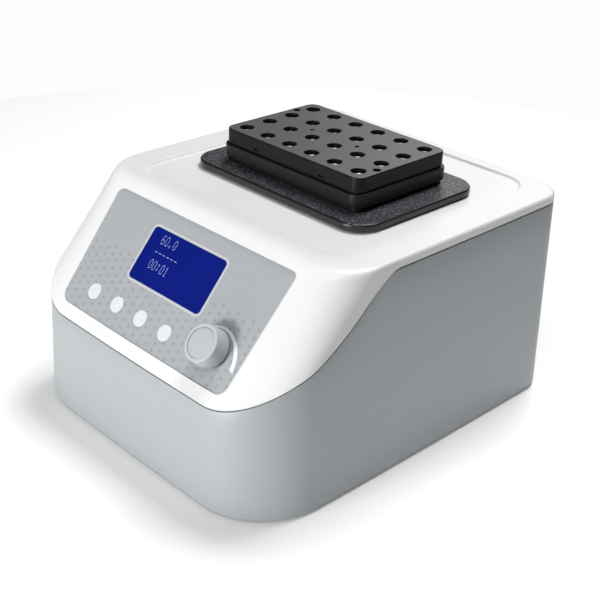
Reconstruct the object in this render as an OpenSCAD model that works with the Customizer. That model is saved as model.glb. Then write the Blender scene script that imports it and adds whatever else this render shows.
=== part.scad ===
// Bench thermal mixer: a heated tube block on an orbiting table, in a two-part moulded case.
// Origin: middle of the case on the surface it stands on. +X is the user's right, -Y faces the user, +Z is up.

/* [Case] */
// Width of the case at its foot
case_w = 197; // [190:1:215]
// Length of the case at its foot, front to back
case_l = 232; // [230:1:250]
// Height of the case above its rubber feet
case_h = 119; // [117:1:126]
// Lean of the side walls, in degrees
side_draft = 1.2; // [0.6:0.1:2]
// Lean of the front wall, in degrees
front_draft = 1.5; // [0.8:0.1:3]
// Lean of the rear wall, in degrees
rear_draft = 0.9; // [0.5:0.1:1.6]
// Wall thickness of the mouldings
wall = 3; // [2.5:0.1:3.4]
// Plan radius of the front corners of the housing
front_corner_r = 39; // [34:1:44]
// Plan radius of the front corners at the top of the slope
nose_corner_r = 24; // [16:1:30]
// Plan radius of the rear corners
rear_corner_r = 18; // [12:1:24]
// Outward crown of the front face
front_crown = 0.8; // [0.4:0.1:1.6]
// Outward crown of the side faces
side_crown = 0.8; // [0.4:0.1:1.6]
// Radius along the top edge
edge_r = 1.8; // [1:0.1:2.5]
// Height of the rubber feet below the case
foot_h = 2; // [1.5:0.5:5]
// Radius of each rubber foot
foot_r = 9; // [7:0.5:11]

/* [Slope and seam] */
// Angle of the control slope from level, in degrees
slope_angle = 49.6; // [47:0.2:52]
// Height of the knee where the front wall turns into the slope
knee_h = 58.5; // [56:0.5:62]
// Bend radius between the slope and the top
bend_r = 13; // [8:0.5:15]
// Depth of the side band of the top cover
band_h = 4.6; // [4:0.1:6]
// Width of the open line between cover and housing
seam_gap = 0.5; // [0.3:0.1:0.8]
// Height of the tongue that locates the cover in the housing
tongue_h = 4; // [3:0.5:5]

/* [Control panel] */
// Width of the panel at its top edge
panel_w = 137; // [130:1:140]
// Width of the panel at its bottom edge
panel_foot_w = 131; // [124:1:134]
// Length of the panel up the slope
panel_l = 67.8; // [66:0.2:69]
// Distance from the knee up to the panel
panel_rise = 9.2; // [8:0.2:10]
// Corner radius of the panel
panel_r = 5; // [4:0.5:9]
// Thickness of the panel sheet
panel_t = 0.8; // [0.5:0.1:1]
// Depth of the panel's top face below the slope
panel_sink = 0.6; // [0.4:0.1:0.8]
// Width of the raised lip round the panel
lip_w = 1.2; // [0.8:0.1:2]
// Width of the display window
display_w = 57; // [50:0.5:58]
// Length of the display window up the slope
display_l = 29.3; // [26:0.1:30]
// Sideways place of the display
display_x = -2; // [-4:0.5:0]
// Height of the display's middle above the panel's bottom edge
display_s = 42; // [41:0.1:43]
// Radius of a key
key_r = 4.5; // [4:0.1:5]
// Spacing of the keys
key_pitch = 19.8; // [18:0.1:20.5]
// Sideways place of the first key
key_x = -46.3; // [-48:0.1:-45]
// Height of the keys above the panel's bottom edge
key_s = 10.9; // [9:0.1:12]
// Travel of a key
key_travel = 0.5; // [0.3:0.1:0.6]
// Radius of the control knob
knob_r = 10.2; // [9:0.1:11]
// Height of the control knob
knob_h = 9.1; // [8:0.1:13]
// Sideways place of the knob
knob_x = 46.8; // [45:0.1:48]
// Height of the knob above the panel's bottom edge
knob_s = 16.3; // [15:0.1:18]
// Travel of the knob when pushed
push_travel = 0.5; // [0.3:0.1:0.6]
// Radius of the knob's spindle
spindle_r = 3; // [2.5:0.1:3.2]

/* [Tube block] */
// Distance of the block's middle behind the middle of the case
block_y = 26.6; // [24:0.2:28]
// Rows of wells
well_rows = 4; // [3:1:4]
// Wells in each row
well_columns = 6; // [4:1:6]
// Spacing of the wells
well_pitch = 17; // [15:0.1:17]
// Radius of a well
well_r = 4; // [3.6:0.1:4.3]
// Depth of a well
well_depth = 27; // [24:0.5:30]
// Width of the block's head
head_w = 102.6; // [100:0.2:104]
// Depth of the block's head, front to back
head_d = 68.4; // [66:0.2:70]
// Height of the block's head
head_h = 8; // [6:0.5:9]
// Corner radius of the block's head
head_r = 5.5; // [4:0.5:7]
// Height of the block above the case top
block_rise = 22; // [21:0.5:24]
// Height of the collar under the head
collar_h = 8; // [7:0.2:8.4]
// How far the collar stands out from the head
collar_step = 1.4; // [1:0.1:2]
// Inset of the block's neck from its head
neck_inset = 0.6; // [0.4:0.1:0.8]
// Radius of the holes for the fixing screws
fixing_r = 2; // [1.8:0.1:2.2]
// Radius of the two probe holes
probe_r = 1.1; // [0.8:0.1:1.4]

/* [Tray] */
// Width of the tray's flange
tray_w = 132.6; // [131:0.2:135]
// Depth of the tray's flange, front to back
tray_d = 94; // [93:0.2:97]
// Corner radius of the tray's flange
tray_r = 14.5; // [12:0.5:18]
// Thickness of the tray's flange
tray_t = 3.6; // [2.5:0.1:4]
// Drop from the block's top face to the flange's top face
tray_drop = 18.5; // [17.5:0.1:18.5]
// Depth of the shallow recess in the case top
recess_depth = 1.3; // [1.1:0.1:1.5]
// Width of the recess
recess_w = 156; // [150:1:162]
// Corner radius of the recess
recess_r = 17; // [12:1:24]
// Wall of the tray's skirt
skirt_t = 2.5; // [2:0.1:3]

/* [Orbit drive] */
// Radius of the circle that the table travels
orbit_r = 1.5; // [1:0.1:2]
// Radius of the motor
motor_r = 25; // [20:1:28]
// Length of the motor
motor_l = 36; // [30:1:42]
// Radius of the motor shaft
shaft_r = 3; // [2.5:0.1:3.5]
// Radius of the drive crank's disc
crank_r = 12; // [11:0.5:13]
// Radius of the eccentric pin
crank_pin_r = 4; // [3.5:0.1:4.5]
// Outer radius of the counterweight
weight_r = 28; // [24:1:32]
// Distance of each guide crank from the motor axis
guide_x = 62; // [58:1:64]
// Radius of a guide crank's journal
journal_r = 4; // [3.5:0.1:4.5]
// Radius of a guide crank's pin
guide_pin_r = 3; // [2.5:0.1:3.5]
// Thickness of the table
table_t = 6; // [5:0.5:7]
// Height of the deck that carries the drive
deck_z = 72; // [70:0.5:73]
// Thickness of the deck
deck_t = 3; // [2.5:0.5:3.5]

/* [Rear connections] */
// Width of the mains inlet's face
inlet_w = 30.6; // [29.6:0.2:32]
// Height of the mains inlet's face
inlet_h = 22.6; // [21.6:0.2:24]
// Distance from the inlet's middle to the side of the case
inlet_edge = 43.5; // [41:0.5:48]
// Height of the mains inlet's middle
inlet_z = 34; // [32:0.5:40]
// Width of the power switch's face
switch_w = 15; // [14:0.2:17]
// Height of the power switch's face
switch_h = 21; // [20:0.2:23]
// Distance between the middles of the inlet and the power switch
switch_pitch = 30; // [28:0.5:34]
// Angle that the rocker swings through, in degrees
rocker_swing = 16; // [10:1:18]

/* [Hidden] */

$fn = 48;
slice_t = 0.01;      // thickness of the slices that a lofted form is hulled from
over = 1;            // how far a cut runs past the face it opens
arc_steps = 9;       // steps in each corner of a lofted outline
side_steps = 6;      // steps along each crowned side
bend_steps = 4;      // steps round the bend at the top of the slope
fit = 0.2;           // gap between still pieces that slip together
tongue_fit = 0.4;    // gap between the cover's tongue and the housing
run_fit = 0.05;      // radial gap of a shaft that turns in its bore
axial_fit = 0.2;     // end gap of a piece that turns on another

case_top = foot_h + case_h;
bend_z = case_top - bend_r;

// ---- Outline of the case at any height ----
function lean(angle, z) = (z - foot_h) * tan(angle);
function half_w(z) = case_w / 2 - lean(side_draft, z);
function front_y(z) = -case_l / 2 + lean(front_draft, z);
function back_y(z) = case_l / 2 - lean(rear_draft, z);
knee_y = front_y(knee_h);
function slope_y(z) = knee_y + (z - knee_h) / tan(slope_angle);
bend_y = slope_y(case_top) + bend_r * tan(slope_angle / 2);

// Front edge of a form that lies inset inside the case's surface
function nose_y(z, inset) =
    let (r = bend_r - inset, up = z - bend_z)
    up > r * cos(slope_angle) ? bend_y - sqrt(max(0, r * r - up * up))
        : max(front_y(z) + inset, slope_y(z) + inset / sin(slope_angle));
function corner_r(z) =
    front_corner_r + (nose_corner_r - front_corner_r) * max(0, z - knee_h) / (case_top - knee_h);
// How far the sides draw in where the top edge is rounded
function edge_inset(z) =
    let (up = z - (case_top - edge_r))
    up > 0 ? edge_r - sqrt(max(0, edge_r * edge_r - up * up)) : 0;

function corner_arc(x, y, r, start) =
    [for (k = [0:arc_steps]) [x + r * cos(start + 90 * k / arc_steps), y + r * sin(start + 90 * k / arc_steps)]];
function with_side_points(pts) =
    [for (i = [0:len(pts) - 1])
        let (a = pts[i], b = pts[(i + 1) % len(pts)], steps = norm(b - a) > 20 ? side_steps : 1)
        for (k = [0:steps - 1]) a + (b - a) * k / steps];
function crowned(pts, hw, yf, yb) =
    let (mid = (yf + yb) / 2, hl = (yb - yf) / 2)
    [for (p = pts)
        let (u = p.x / hw, v = (p.y - mid) / hl, along = 2 * p.y / case_l)
        [p.x - side_crown * u * along * along, p.y - front_crown * v * u * u]];
function case_outline(z, inset) =
    let (hw = half_w(z) - inset - edge_inset(z), yb = back_y(z) - inset - edge_inset(z),
         yf = nose_y(z, inset), rf = corner_r(z) - inset, rb = rear_corner_r - inset / 2)
    crowned(with_side_points(concat(
        corner_arc(hw - rb, yb - rb, rb, 0), corner_arc(-hw + rb, yb - rb, rb, 90),
        corner_arc(-hw + rf, yf + rf, rf, 180), corner_arc(hw - rf, yf + rf, rf, 270))), hw, yf, yb);
// Height at which a form inset inside the case has its knee
function knee_z(inset) =
    knee_h + inset * (1 - 1 / sin(slope_angle)) / (1 / tan(slope_angle) - tan(front_draft));
// Points round the front corners where the upright housing wall meets the seam, as [x, y, z]
function wall_point(k, z, inset) =
    let (hw = half_w(z) - inset, r = front_corner_r - inset, yf = front_y(z) + inset,
         x = hw - r + r * sin(90 * k / arc_steps), y = yf + r - r * cos(90 * k / arc_steps),
         along = 2 * y / case_l)
    [x - side_crown * x / hw * along * along, y + front_crown * pow(x / hw, 2), z];
function wall_top_z(y, inset) =
    min(lookup(y, seam_line()), knee_h + (y - knee_y) * tan(slope_angle) - inset / cos(slope_angle));
function rail_point(k, inset, z, tries = 4) =
    tries == 0 ? wall_point(k, z, inset)
        : rail_point(k, inset, wall_top_z(wall_point(k, z, inset).y, inset), tries - 1);
function bend_levels(inset) =
    [for (k = [0:bend_steps]) bend_z + (bend_r - inset) * cos(slope_angle * (1 - k / bend_steps))];

module slice(z, inset) {
    translate([0, 0, z - slice_t]) linear_extrude(slice_t) polygon(case_outline(z, inset));
}
// Thin wedge that carries a hulled form out to point p on both sides
module rail(p) {
    translate([0, 0, p.z - slice_t]) linear_extrude(slice_t) polygon([[-p.x, p.y], [p.x, p.y], [0, p.y + p.x]]);
}
// The whole outer form of the case, drawn in by inset, from height low upwards
module case_form(inset = 0, low = foot_h) {
    hull() {
        slice(low + slice_t, inset);
        slice(knee_z(inset), inset);
        for (k = [1:arc_steps]) rail(rail_point(k, inset, knee_h));
        for (z = bend_levels(inset)) slice(z, inset);
        if (inset == 0) slice(case_top - edge_r, inset);
    }
}

// ---- Seam between housing and cover, as a side view ----
seam_top = case_top - band_h;
seam_start_angle = 37.8;     // climb of the seam where it leaves the front
seam_flat_angle = 25;        // climb at the middle of its S curve
seam_front_r = 162;          // radius of the first, downward bending arc
seam_kink_r = 4;             // radius where it meets the level part
seam_steps = 8;
seam_mid = [knee_y + seam_front_r * (sin(seam_start_angle) - sin(seam_flat_angle)),
            knee_h + seam_front_r * (cos(seam_flat_angle) - cos(seam_start_angle))];
seam_rear_r = (seam_top - seam_mid.y) / (cos(seam_flat_angle) - cos(slope_angle));
seam_kink = [seam_mid.x + seam_rear_r * (sin(slope_angle) - sin(seam_flat_angle)), seam_top];
kink_tangent = seam_kink_r * tan(slope_angle / 2);
kink_start = seam_kink - kink_tangent * [cos(slope_angle), sin(slope_angle)];
far = case_l;                // beyond the case in every direction

function steps(from, to, count) = [for (k = [0:count]) from + (to - from) * k / count];
function seam_line() = concat(
    [[-far, knee_h]],
    [for (t = steps(seam_start_angle, seam_flat_angle, seam_steps))
        [knee_y + seam_front_r * (sin(seam_start_angle) - sin(t)),
         knee_h + seam_front_r * (cos(t) - cos(seam_start_angle))]],
    [for (t = steps(seam_flat_angle, slope_angle * 0.96, seam_steps))
        [seam_mid.x + seam_rear_r * (sin(t) - sin(seam_flat_angle)),
         seam_mid.y + seam_rear_r * (cos(seam_flat_angle) - cos(t))]],
    [for (t = steps(slope_angle, 0, seam_steps / 2))
        kink_start + seam_kink_r * [sin(slope_angle) - sin(t), cos(t) - cos(slope_angle)]],
    [[far, seam_top]]);
// Everything above the seam, moved up by rise
module above_seam(rise = 0) {
    translate([0, 0, rise]) rotate([90, 0, 90]) linear_extrude(2 * far, center = true)
        polygon(concat(seam_line(), [[far, 2 * far], [-far, 2 * far]]));
}
module below_seam() {
    rotate([90, 0, 90]) linear_extrude(2 * far, center = true)
        polygon(concat(seam_line(), [[far, -far], [-far, -far]]));
}

// ---- Shared shapes ----
// Upright bar with rounded corners, standing on z = 0 and centred in plan
module rounded_bar(w, d, h, r) {
    translate([-w / 2 + r, -d / 2, 0]) cube([w - 2 * r, d, h]);
    translate([-w / 2, -d / 2 + r, 0]) cube([w, d - 2 * r, h]);
    for (x = [-1, 1], y = [-1, 1]) translate([x * (w / 2 - r), y * (d / 2 - r), 0]) cylinder(h = h, r = r);
}
module rod(r, z1, z2) {
    translate([0, 0, z1]) cylinder(h = z2 - z1, r = r);
}
module at_each(points) {
    for (p = points) translate(p) children();
}
// Frame of the control slope: x across, y up the slope from the panel's bottom edge, z out of the face
module on_slope() {
    translate([0, knee_y, knee_h]) rotate([slope_angle, 0, 0]) translate([0, panel_rise, 0]) children();
}
// Socket-head or pan-head screw with its head's top at z = 0, pointing down
module screw(head_r, head_h, shank_r, length) {
    difference() {
        rod(head_r, -head_h, 0);
        rod(head_r * 0.5, -head_h / 2, over, $fn = 6);
    }
    rod(shank_r, -head_h - length, -head_h);
}

// ---- Places shared by several pieces ----
inlet_x = case_w / 2 - inlet_edge;
switch_x = inlet_x - switch_pitch;
base_t = 2;
base_sink = 1.5;                 // how far the base plate is let into the housing
base_z = foot_h + base_sink;
base_top = base_z + base_t;
deck_top = deck_z + deck_t;
deck_clearance = 9.5;            // from the deck's edge to the inside of the wall
deck_w = case_w - 2 * (wall + deck_clearance);
deck_setback = 77.5;             // from the knee of the front to the deck's front edge
deck_rear_gap = 3.4;             // from the deck's back edge to the wall
deck_front = knee_y + deck_setback;
deck_back = back_y(deck_z) - wall - deck_rear_gap;
deck_d = deck_back - deck_front;
deck_y = (deck_front + deck_back) / 2;
boss_r = 6.5;
boss_h = 16;
boss_bury = 2;                   // how far a boss runs into the corner of the wall
function boss_offset(r) = r - (r - wall - boss_r + boss_bury) * cos(45);
front_boss_x = case_w / 2 - boss_offset(front_corner_r);
front_boss_y = -case_l / 2 + boss_offset(front_corner_r);
rear_boss_x = case_w / 2 - boss_offset(rear_corner_r);
rear_boss_y = case_l / 2 - boss_offset(rear_corner_r);
base_bosses = [[front_boss_x, front_boss_y, 0], [-front_boss_x, front_boss_y, 0],
               [rear_boss_x, rear_boss_y, 0], [-rear_boss_x, rear_boss_y, 0]];
foot_side = 28.5;                // distances of the feet's middles from the edges of the case
foot_front = 38;
foot_rear = 32;
foot_x = case_w / 2 - foot_side;
feet_at = [for (x = [-foot_x, foot_x], y = [foot_front - case_l / 2, case_l / 2 - foot_rear]) [x, y, 0]];
pillar_r = 4.5;
pillar_side = 10;                // distances of the pillars from the deck's edges
pillar_front = 9;
pillar_rear = 11;
pillar_x = deck_w / 2 - pillar_side;
pillars_at = [for (x = [-pillar_x, pillar_x], y = [deck_front + pillar_front, deck_back - pillar_rear])
    [x, y, 0]];
post_r = 4.5;
post_side = 6;                   // distances of the cover's posts from the deck's edges
post_front = 21;
post_rear = 25;
post_x = deck_w / 2 - post_side;
posts_at = [for (x = [-post_x, post_x], y = [deck_front + post_front, deck_back - post_rear]) [x, y, 0]];
screw_r = 1.5;
screw_head_r = 2.8;
screw_head_h = 2;

drive_y = block_y - orbit_r;     // the motor axis, behind which the eccentric pin rests
// Heights of what stands on the table
table_z = deck_top + 9;
table_top = table_z + table_t + 2;
pad_t = 5;
film_t = 0.8;
heater_t = 5.2;
film_z = table_top + pad_t;
heater_z = film_z + film_t;
block_z = heater_z + heater_t;
block_top = case_top + block_rise;
head_z = block_top - head_h;
collar_z = head_z - collar_h;
tray_z = block_top - tray_drop - tray_t;
neck_w = head_w - 2 * neck_inset;
neck_d = head_d - 2 * neck_inset;
neck_r = head_r - 0.5;
skirt_gap = 1.5;                 // air gap between the block and the tray's skirt
skirt_in_w = neck_w + 2 * skirt_gap;
skirt_in_d = neck_d + 2 * skirt_gap;
skirt_w = skirt_in_w + 2 * skirt_t;
skirt_d = skirt_in_d + 2 * skirt_t;
opening_w = skirt_w + 2 * orbit_r + 5;
opening_d = skirt_d + 2 * orbit_r + 5;
recess_margin = 9.5;             // flat border left round the recess at the rear
tray_screws_at = [for (x = [-1, 1], y = [-1, 1]) [x * 36, block_y + y * (skirt_d / 2 + 5), 0]];
foot_tab_r = 5;
foot_tab_t = 3;

// Places under the control panel, measured out of the slope's face
panel_top = -panel_sink;
panel_floor = -panel_sink - panel_t;
skin = -wall;                    // inside face of the slope
board_t = 1.6;
board_z = -15;                   // underside of the control board
board_top = board_z + board_t;
board_w = 126;
board_l = 56;
board_s = 33;
board_boss_r = 3.2;
board_bosses_at = [for (x = [-58, 58], s = [10, 56]) [x, s, 0]];
switch_h_low = 3.6;
key_proud = 0.4;
key_top = panel_top + key_proud;
key_tip = board_top + switch_h_low + key_travel + 0.1;
key_flange_r = key_r + 1.4;
key_flange_z = skin - 0.3;
encoder_w = 13;
encoder_h = 6.6;
bushing_r = 4;
encoder_top = board_top + encoder_h;
bushing_top = panel_top + 0.4;
plunger_r = 2;
plunger_z = board_top + 1.2;
plunger_l = 2.6;
spindle_z = plunger_z + plunger_l;
knob_gap = push_travel + 1;        // height of the knob over the panel
knob_z = panel_top + knob_gap;
knob_rim = 1.6;

// Places on the rear wall
pad_depth = 1.6;                 // depth of the flat seat sunk in the rear wall
seat_y = back_y(inlet_z) - front_crown - pad_depth;
rear_pad_t = 3;
plate_t = 2;
socket_w = 24.6;
socket_h = 16.6;
socket_depth = 15;
inlet_body_l = 20;
switch_body_l = 15;
rocker_half = 6.4;
vents_at = [for (k = [0:8]) -70 + 7 * k];

// ---- Case ----
module lower_housing() color([0.76, 0.78, 0.79]) {
    difference() {
        intersection() { case_form(); below_seam(); }
        difference() {
            case_form(wall, foot_h - over);
            at_each(base_bosses) rod(boss_r, base_top, base_top + boss_h);
            rear_pad();
        }
        seam_groove();
        at_each(base_bosses) rod(screw_r - 0.2, base_top - over, base_top + boss_h - 4);
        rear_cuts();
    }
}
// Trims the housing's outer edge along the seam, which leaves a fine dark line
module seam_groove() {
    difference() {
        above_seam(-seam_gap);
        case_form(wall * 0.4, foot_h - over);
    }
}
// Thicker wall behind the inlet and the switch
module rear_pad() {
    x1 = switch_x - switch_w / 2 - 5;
    x2 = inlet_x + inlet_w / 2 + 5;
    translate([x1, seat_y - rear_pad_t, inlet_z - 17]) cube([x2 - x1, rear_pad_t, 34]);
}
module rear_cuts() {
    x1 = switch_x - switch_w / 2 - 3;
    x2 = inlet_x + inlet_w / 2 + 3;
    translate([x1, seat_y, inlet_z - 15]) cube([x2 - x1, far, 30]);
    rear_hole(inlet_x, inlet_w - 3 + fit, inlet_h - 3 + fit);
    rear_hole(switch_x, switch_w - 2 + fit, switch_h - 2 + fit);
    for (x = vents_at) translate([x, case_l / 2, inlet_z - 14]) {
        translate([-1.25, -2 * wall - 2, 0]) cube([2.5, 4 * wall, 28]);
    }
}
module rear_hole(x, w, h) {
    translate([x - w / 2, seat_y - 3 * rear_pad_t, inlet_z - h / 2]) cube([w, 6 * rear_pad_t, h]);
}

module top_cover() color([0.95, 0.95, 0.95]) {
    difference() {
        union() {
            intersection() { case_form(); above_seam(); }
            intersection() { case_form(wall + tongue_fit); above_seam(-tongue_h); }
        }
        case_form(wall + 2, foot_h - over);
        intersection() { case_form(wall); above_seam(tongue_h); }
        top_recess();
        translate([0, drive_y, case_top - 3 * wall]) rounded_bar(opening_w, opening_d, 6 * wall, 8);
        panel_cuts();
        on_slope() translate([-panel_foot_w / 2, 0, -12 * wall]) cube([panel_foot_w, panel_l, 11 * wall]);
    }
    panel_lip();
    board_bosses();
    cover_posts();
}
module top_recess() {
    front = bend_y + 5;
    back = back_y(case_top) - recess_margin;
    translate([0, (front + back) / 2, case_top - recess_depth])
        rounded_bar(recess_w, back - front, recess_depth + over, recess_r);
}
module cover_posts() {
    difference() {
        at_each(posts_at) rod(post_r, deck_top, case_top - wall + over);
        at_each(posts_at) rod(screw_r - 0.2, deck_top - over, deck_top + 14);
    }
}

module board_bosses() on_slope() at_each(board_bosses_at) difference() {
    rod(board_boss_r, board_top, skin + over / 2);
    rod(screw_r - 0.2, board_top - over, board_top + 6);
}

// ---- Control panel ----
// Tapered outline with round corners; grow moves the outline outwards
function panel_corner(x, s, start) =
    [for (k = [0:6]) [x + panel_r * cos(start + 15 * k), s + panel_r * sin(start + 15 * k)]];
function panel_outline() = concat(
    panel_corner(panel_w / 2 - panel_r, panel_l - panel_r, 0),
    panel_corner(-panel_w / 2 + panel_r, panel_l - panel_r, 90),
    panel_corner(-panel_foot_w / 2 + panel_r, panel_r, 180),
    [for (k = [1:7]) let (u = k / 4 - 1) [u * (panel_foot_w / 2 - panel_r), -front_crown / 2 * (1 - u * u)]],
    panel_corner(panel_foot_w / 2 - panel_r, panel_r, 270));
module panel_prism(z1, z2, grow = 0) {
    translate([0, panel_l / 2, z1])
        linear_extrude(z2 - z1)
            scale([1 + 2 * grow / panel_w, 1 + 2 * grow / panel_l])
                translate([0, -panel_l / 2]) polygon(panel_outline());
}
module window_bar(z1, z2, grow = 0) {
    translate([display_x, display_s, z1])
        rounded_bar(display_w + 2 * grow, display_l + 2 * grow, z2 - z1, 2.5 + grow);
}
function key_place(i) = [key_x + i * key_pitch, key_s, 0];
module at_knob() {
    translate([knob_x, knob_s, 0]) children();
}
module panel_cuts() on_slope() {
    panel_prism(panel_floor, 3 * wall);
    window_bar(-4 * wall, 0, 1);
    for (i = [0:3]) translate(key_place(i)) rod(key_r + fit, -4 * wall, 0);
    at_knob() rod(bushing_r + fit, -4 * wall, 0);
}
module panel_lip() on_slope() difference() {
    panel_prism(panel_floor - 0.6, 0.25, lip_w);
    panel_prism(panel_floor - over, over);
}
module control_panel() color([0.72, 0.74, 0.76]) on_slope() difference() {
    panel_prism(panel_floor, panel_top, -fit);
    window_bar(panel_floor - over, over);
    for (i = [0:3]) translate(key_place(i)) rod(key_r + fit, panel_floor - over, over);
    at_knob() rod(bushing_r + fit, panel_floor - over, over);
}
module display_window() color([0.09, 0.14, 0.53]) on_slope() window_bar(panel_floor - 0.4, panel_top - 0.2, -fit);
module display_module() color([0.12, 0.13, 0.14]) on_slope() {
    window_bar(board_top, panel_floor - 0.4, 0);
}
module control_board() color([0.1, 0.35, 0.2]) on_slope() difference() {
    translate([0, board_s, board_z]) rounded_bar(board_w, board_l, board_t, 2);
    at_each(board_bosses_at) rod(screw_r + fit, board_z - over, board_top + over);
}
module board_screws() color([0.6, 0.6, 0.62]) on_slope() at_each(board_bosses_at) {
    translate([0, 0, board_z - screw_head_h]) mirror([0, 0, 1]) screw(screw_head_r, screw_head_h, screw_r - 0.25, 4);
}
module key_switches() color([0.15, 0.15, 0.16]) on_slope() for (i = [0:3]) translate(key_place(i)) {
    translate([-3, -3, board_top]) cube([6, 6, switch_h_low - 0.8]);
    rod(1.7, board_top, board_top + switch_h_low);
}
module key(i) color([0.97, 0.97, 0.98]) on_slope() translate(key_place(i)) {
    rod(key_r, key_flange_z, key_top);
    rod(key_flange_r, key_flange_z - 1, key_flange_z);
    rod(1.8, key_tip, key_flange_z);
}
module key_1() key(0);
module key_2() key(1);
module key_3() key(2);
module key_4() key(3);

// ---- Push-and-turn encoder ----
module encoder_body() color([0.35, 0.36, 0.38]) on_slope() at_knob() difference() {
    union() {
        translate([-encoder_w / 2, -encoder_w / 2, board_top]) cube([encoder_w, encoder_w, encoder_h]);
        rod(bushing_r, encoder_top, bushing_top);
    }
    rod(spindle_r + run_fit, spindle_z - push_travel - 0.1, bushing_top + over);
    rod(plunger_r + run_fit, plunger_z - push_travel - 0.1, spindle_z);
}
module encoder_nut() color([0.75, 0.75, 0.77]) on_slope() at_knob() difference() {
    rod(bushing_r + 2.6, encoder_top, encoder_top + 2, $fn = 6);
    rod(bushing_r + 0.02, encoder_top - over, encoder_top + 3);
}
module encoder_plunger() color([0.9, 0.9, 0.88]) on_slope() at_knob() rod(plunger_r, plunger_z, spindle_z);
module encoder_spindle() color([0.75, 0.75, 0.77]) on_slope() at_knob() rod(spindle_r, spindle_z, knob_z + knob_h - 3);
module knob() color([0.78, 0.8, 0.81]) on_slope() at_knob() difference() {
    union() {
        rod(knob_r, knob_z, knob_z + knob_h - 0.6);
        translate([0, 0, knob_z + knob_h - 0.6]) cylinder(h = 0.6, r1 = knob_r, r2 = knob_r - 0.6);
    }
    rod(bushing_r + 0.6, knob_z - over, knob_z + 1.6);
    rod(spindle_r + 0.01, knob_z, knob_z + knob_h - 3);
    rod(knob_r - knob_rim, knob_z + knob_h - 1.4, knob_z + knob_h + over);
}
module knob_cap() color([0.82, 0.84, 0.85]) on_slope() at_knob() rod(knob_r - knob_rim - fit, knob_z + knob_h - 1.4, knob_z + knob_h - 0.3);

// ---- Base, deck and fixings ----
module base_plate() color([0.7, 0.71, 0.72]) difference() {
    translate([0, 0, base_z]) linear_extrude(base_t) polygon(case_outline(base_top, wall + fit));
    at_each(base_bosses) rod(screw_r + fit, base_z - over, base_top + over);
    at_each(pillars_at) rod(screw_r + fit, base_z - over, base_top + over);
    for (x = [-40:8:40]) translate([x - 1.5, -60, base_z - over]) cube([3, 36, base_t + 2 * over]);
}
module rubber_feet() color([0.12, 0.12, 0.12]) at_each(feet_at) {
    cylinder(h = 1, r1 = foot_r - 1, r2 = foot_r);
    rod(foot_r, 1, base_z);
}
module base_screws() color([0.6, 0.6, 0.62]) {
    at_each(concat(base_bosses, pillars_at)) translate([0, 0, base_z - screw_head_h])
        mirror([0, 0, 1]) screw(screw_head_r, screw_head_h, screw_r - 0.25, 8);
}
module cover_screws() color([0.6, 0.6, 0.62]) {
    at_each(posts_at) translate([0, 0, deck_z - screw_head_h])
        mirror([0, 0, 1]) screw(screw_head_r, screw_head_h, screw_r - 0.25, 12);
}
module deck() color([0.68, 0.7, 0.72]) difference() {
    translate([0, deck_y, deck_z]) rounded_bar(deck_w, deck_d, deck_t, 6);
    translate([0, drive_y, 0]) rod(motor_boss_r + fit, deck_z - over, deck_top + over);
    at_each(motor_screws_at) rod(screw_r + fit, deck_z - over, deck_top + over);
    at_each(bushings_at) rod(bushing_seat_r, deck_z - over, deck_top + over);
    at_each(concat(posts_at, pillars_at)) rod(screw_r + fit, deck_z - over, deck_top + over);
}
module deck_pillars() color([0.8, 0.8, 0.78]) at_each(pillars_at) difference() {
    rod(pillar_r, base_top, deck_z);
    rod(screw_r - 0.2, base_top - over, base_top + 10);
}

// ---- Orbit drive ----
motor_boss_r = 11;
motor_screws_at = [for (a = [45:90:315]) [17 * cos(a), drive_y + 17 * sin(a), 0]];
bushing_seat_r = journal_r + 2.5;
bushings_at = [[-guide_x, drive_y, 0], [guide_x, drive_y, 0]];
shaft_low = deck_z - motor_l + 6;
crank_low = deck_top + screw_head_h + 0.6;
crank_t = 5;
crank_top = crank_low + crank_t;
guide_disc_low = deck_top + 0.4 + axial_fit;
guide_disc_top = table_z - axial_fit;
bearing_r = 9.5;
guide_bearing_r = 6.5;
open_pivot_fit = 0.15;           // radial gap of the guide pins, which close the linkage

module at_drive() { translate([0, drive_y, 0]) children(); }
module at_crank_pin() { translate([0, block_y, 0]) children(); }
module motor() color([0.2, 0.21, 0.22]) at_drive() difference() {
    union() {
        rod(motor_r, deck_z - motor_l, deck_z);
        rod(motor_boss_r, deck_z, deck_top);
    }
    rod(shaft_r + run_fit, shaft_low, deck_top + over);
    for (a = [45:90:315]) translate([17 * cos(a), 17 * sin(a), 0]) rod(screw_r - 0.2, deck_z - 7, deck_z + over);
}
module motor_screws() color([0.6, 0.6, 0.62]) at_each(motor_screws_at)
    translate([0, 0, deck_top + screw_head_h]) screw(screw_head_r, screw_head_h, screw_r - 0.25, deck_t + 5);
module deck_bushings() color([0.75, 0.6, 0.35]) at_each(bushings_at) difference() {
    union() {
        rod(bushing_seat_r, deck_z - 3, deck_top);
        rod(bushing_seat_r + 1.5, deck_top, deck_top + 0.4);
    }
    rod(journal_r + run_fit, deck_z - 3 - over, deck_top + 1);
}
module motor_shaft() color([0.75, 0.75, 0.77]) at_drive() rod(shaft_r, shaft_low, crank_top);
module drive_crank() color([0.6, 0.61, 0.63]) difference() {
    union() {
        at_drive() rod(crank_r, crank_low, crank_top);
        at_crank_pin() rod(crank_pin_r, crank_top, table_top - 1);
    }
    at_drive() rod(shaft_r + 0.01, crank_low - over, crank_top);
    at_drive() rotate([0, 0, 90]) translate([0, 0, crank_low + crank_t / 2]) rotate([0, 90, 0]) cylinder(h = crank_r + over, r = 1.3);
}
module crank_screw() color([0.2, 0.2, 0.21]) at_drive() rotate([0, 0, 90])
    translate([shaft_r + 0.2, 0, crank_low + crank_t / 2]) rotate([0, 90, 0]) cylinder(h = crank_r - shaft_r - 1, r = 1.2);
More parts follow.
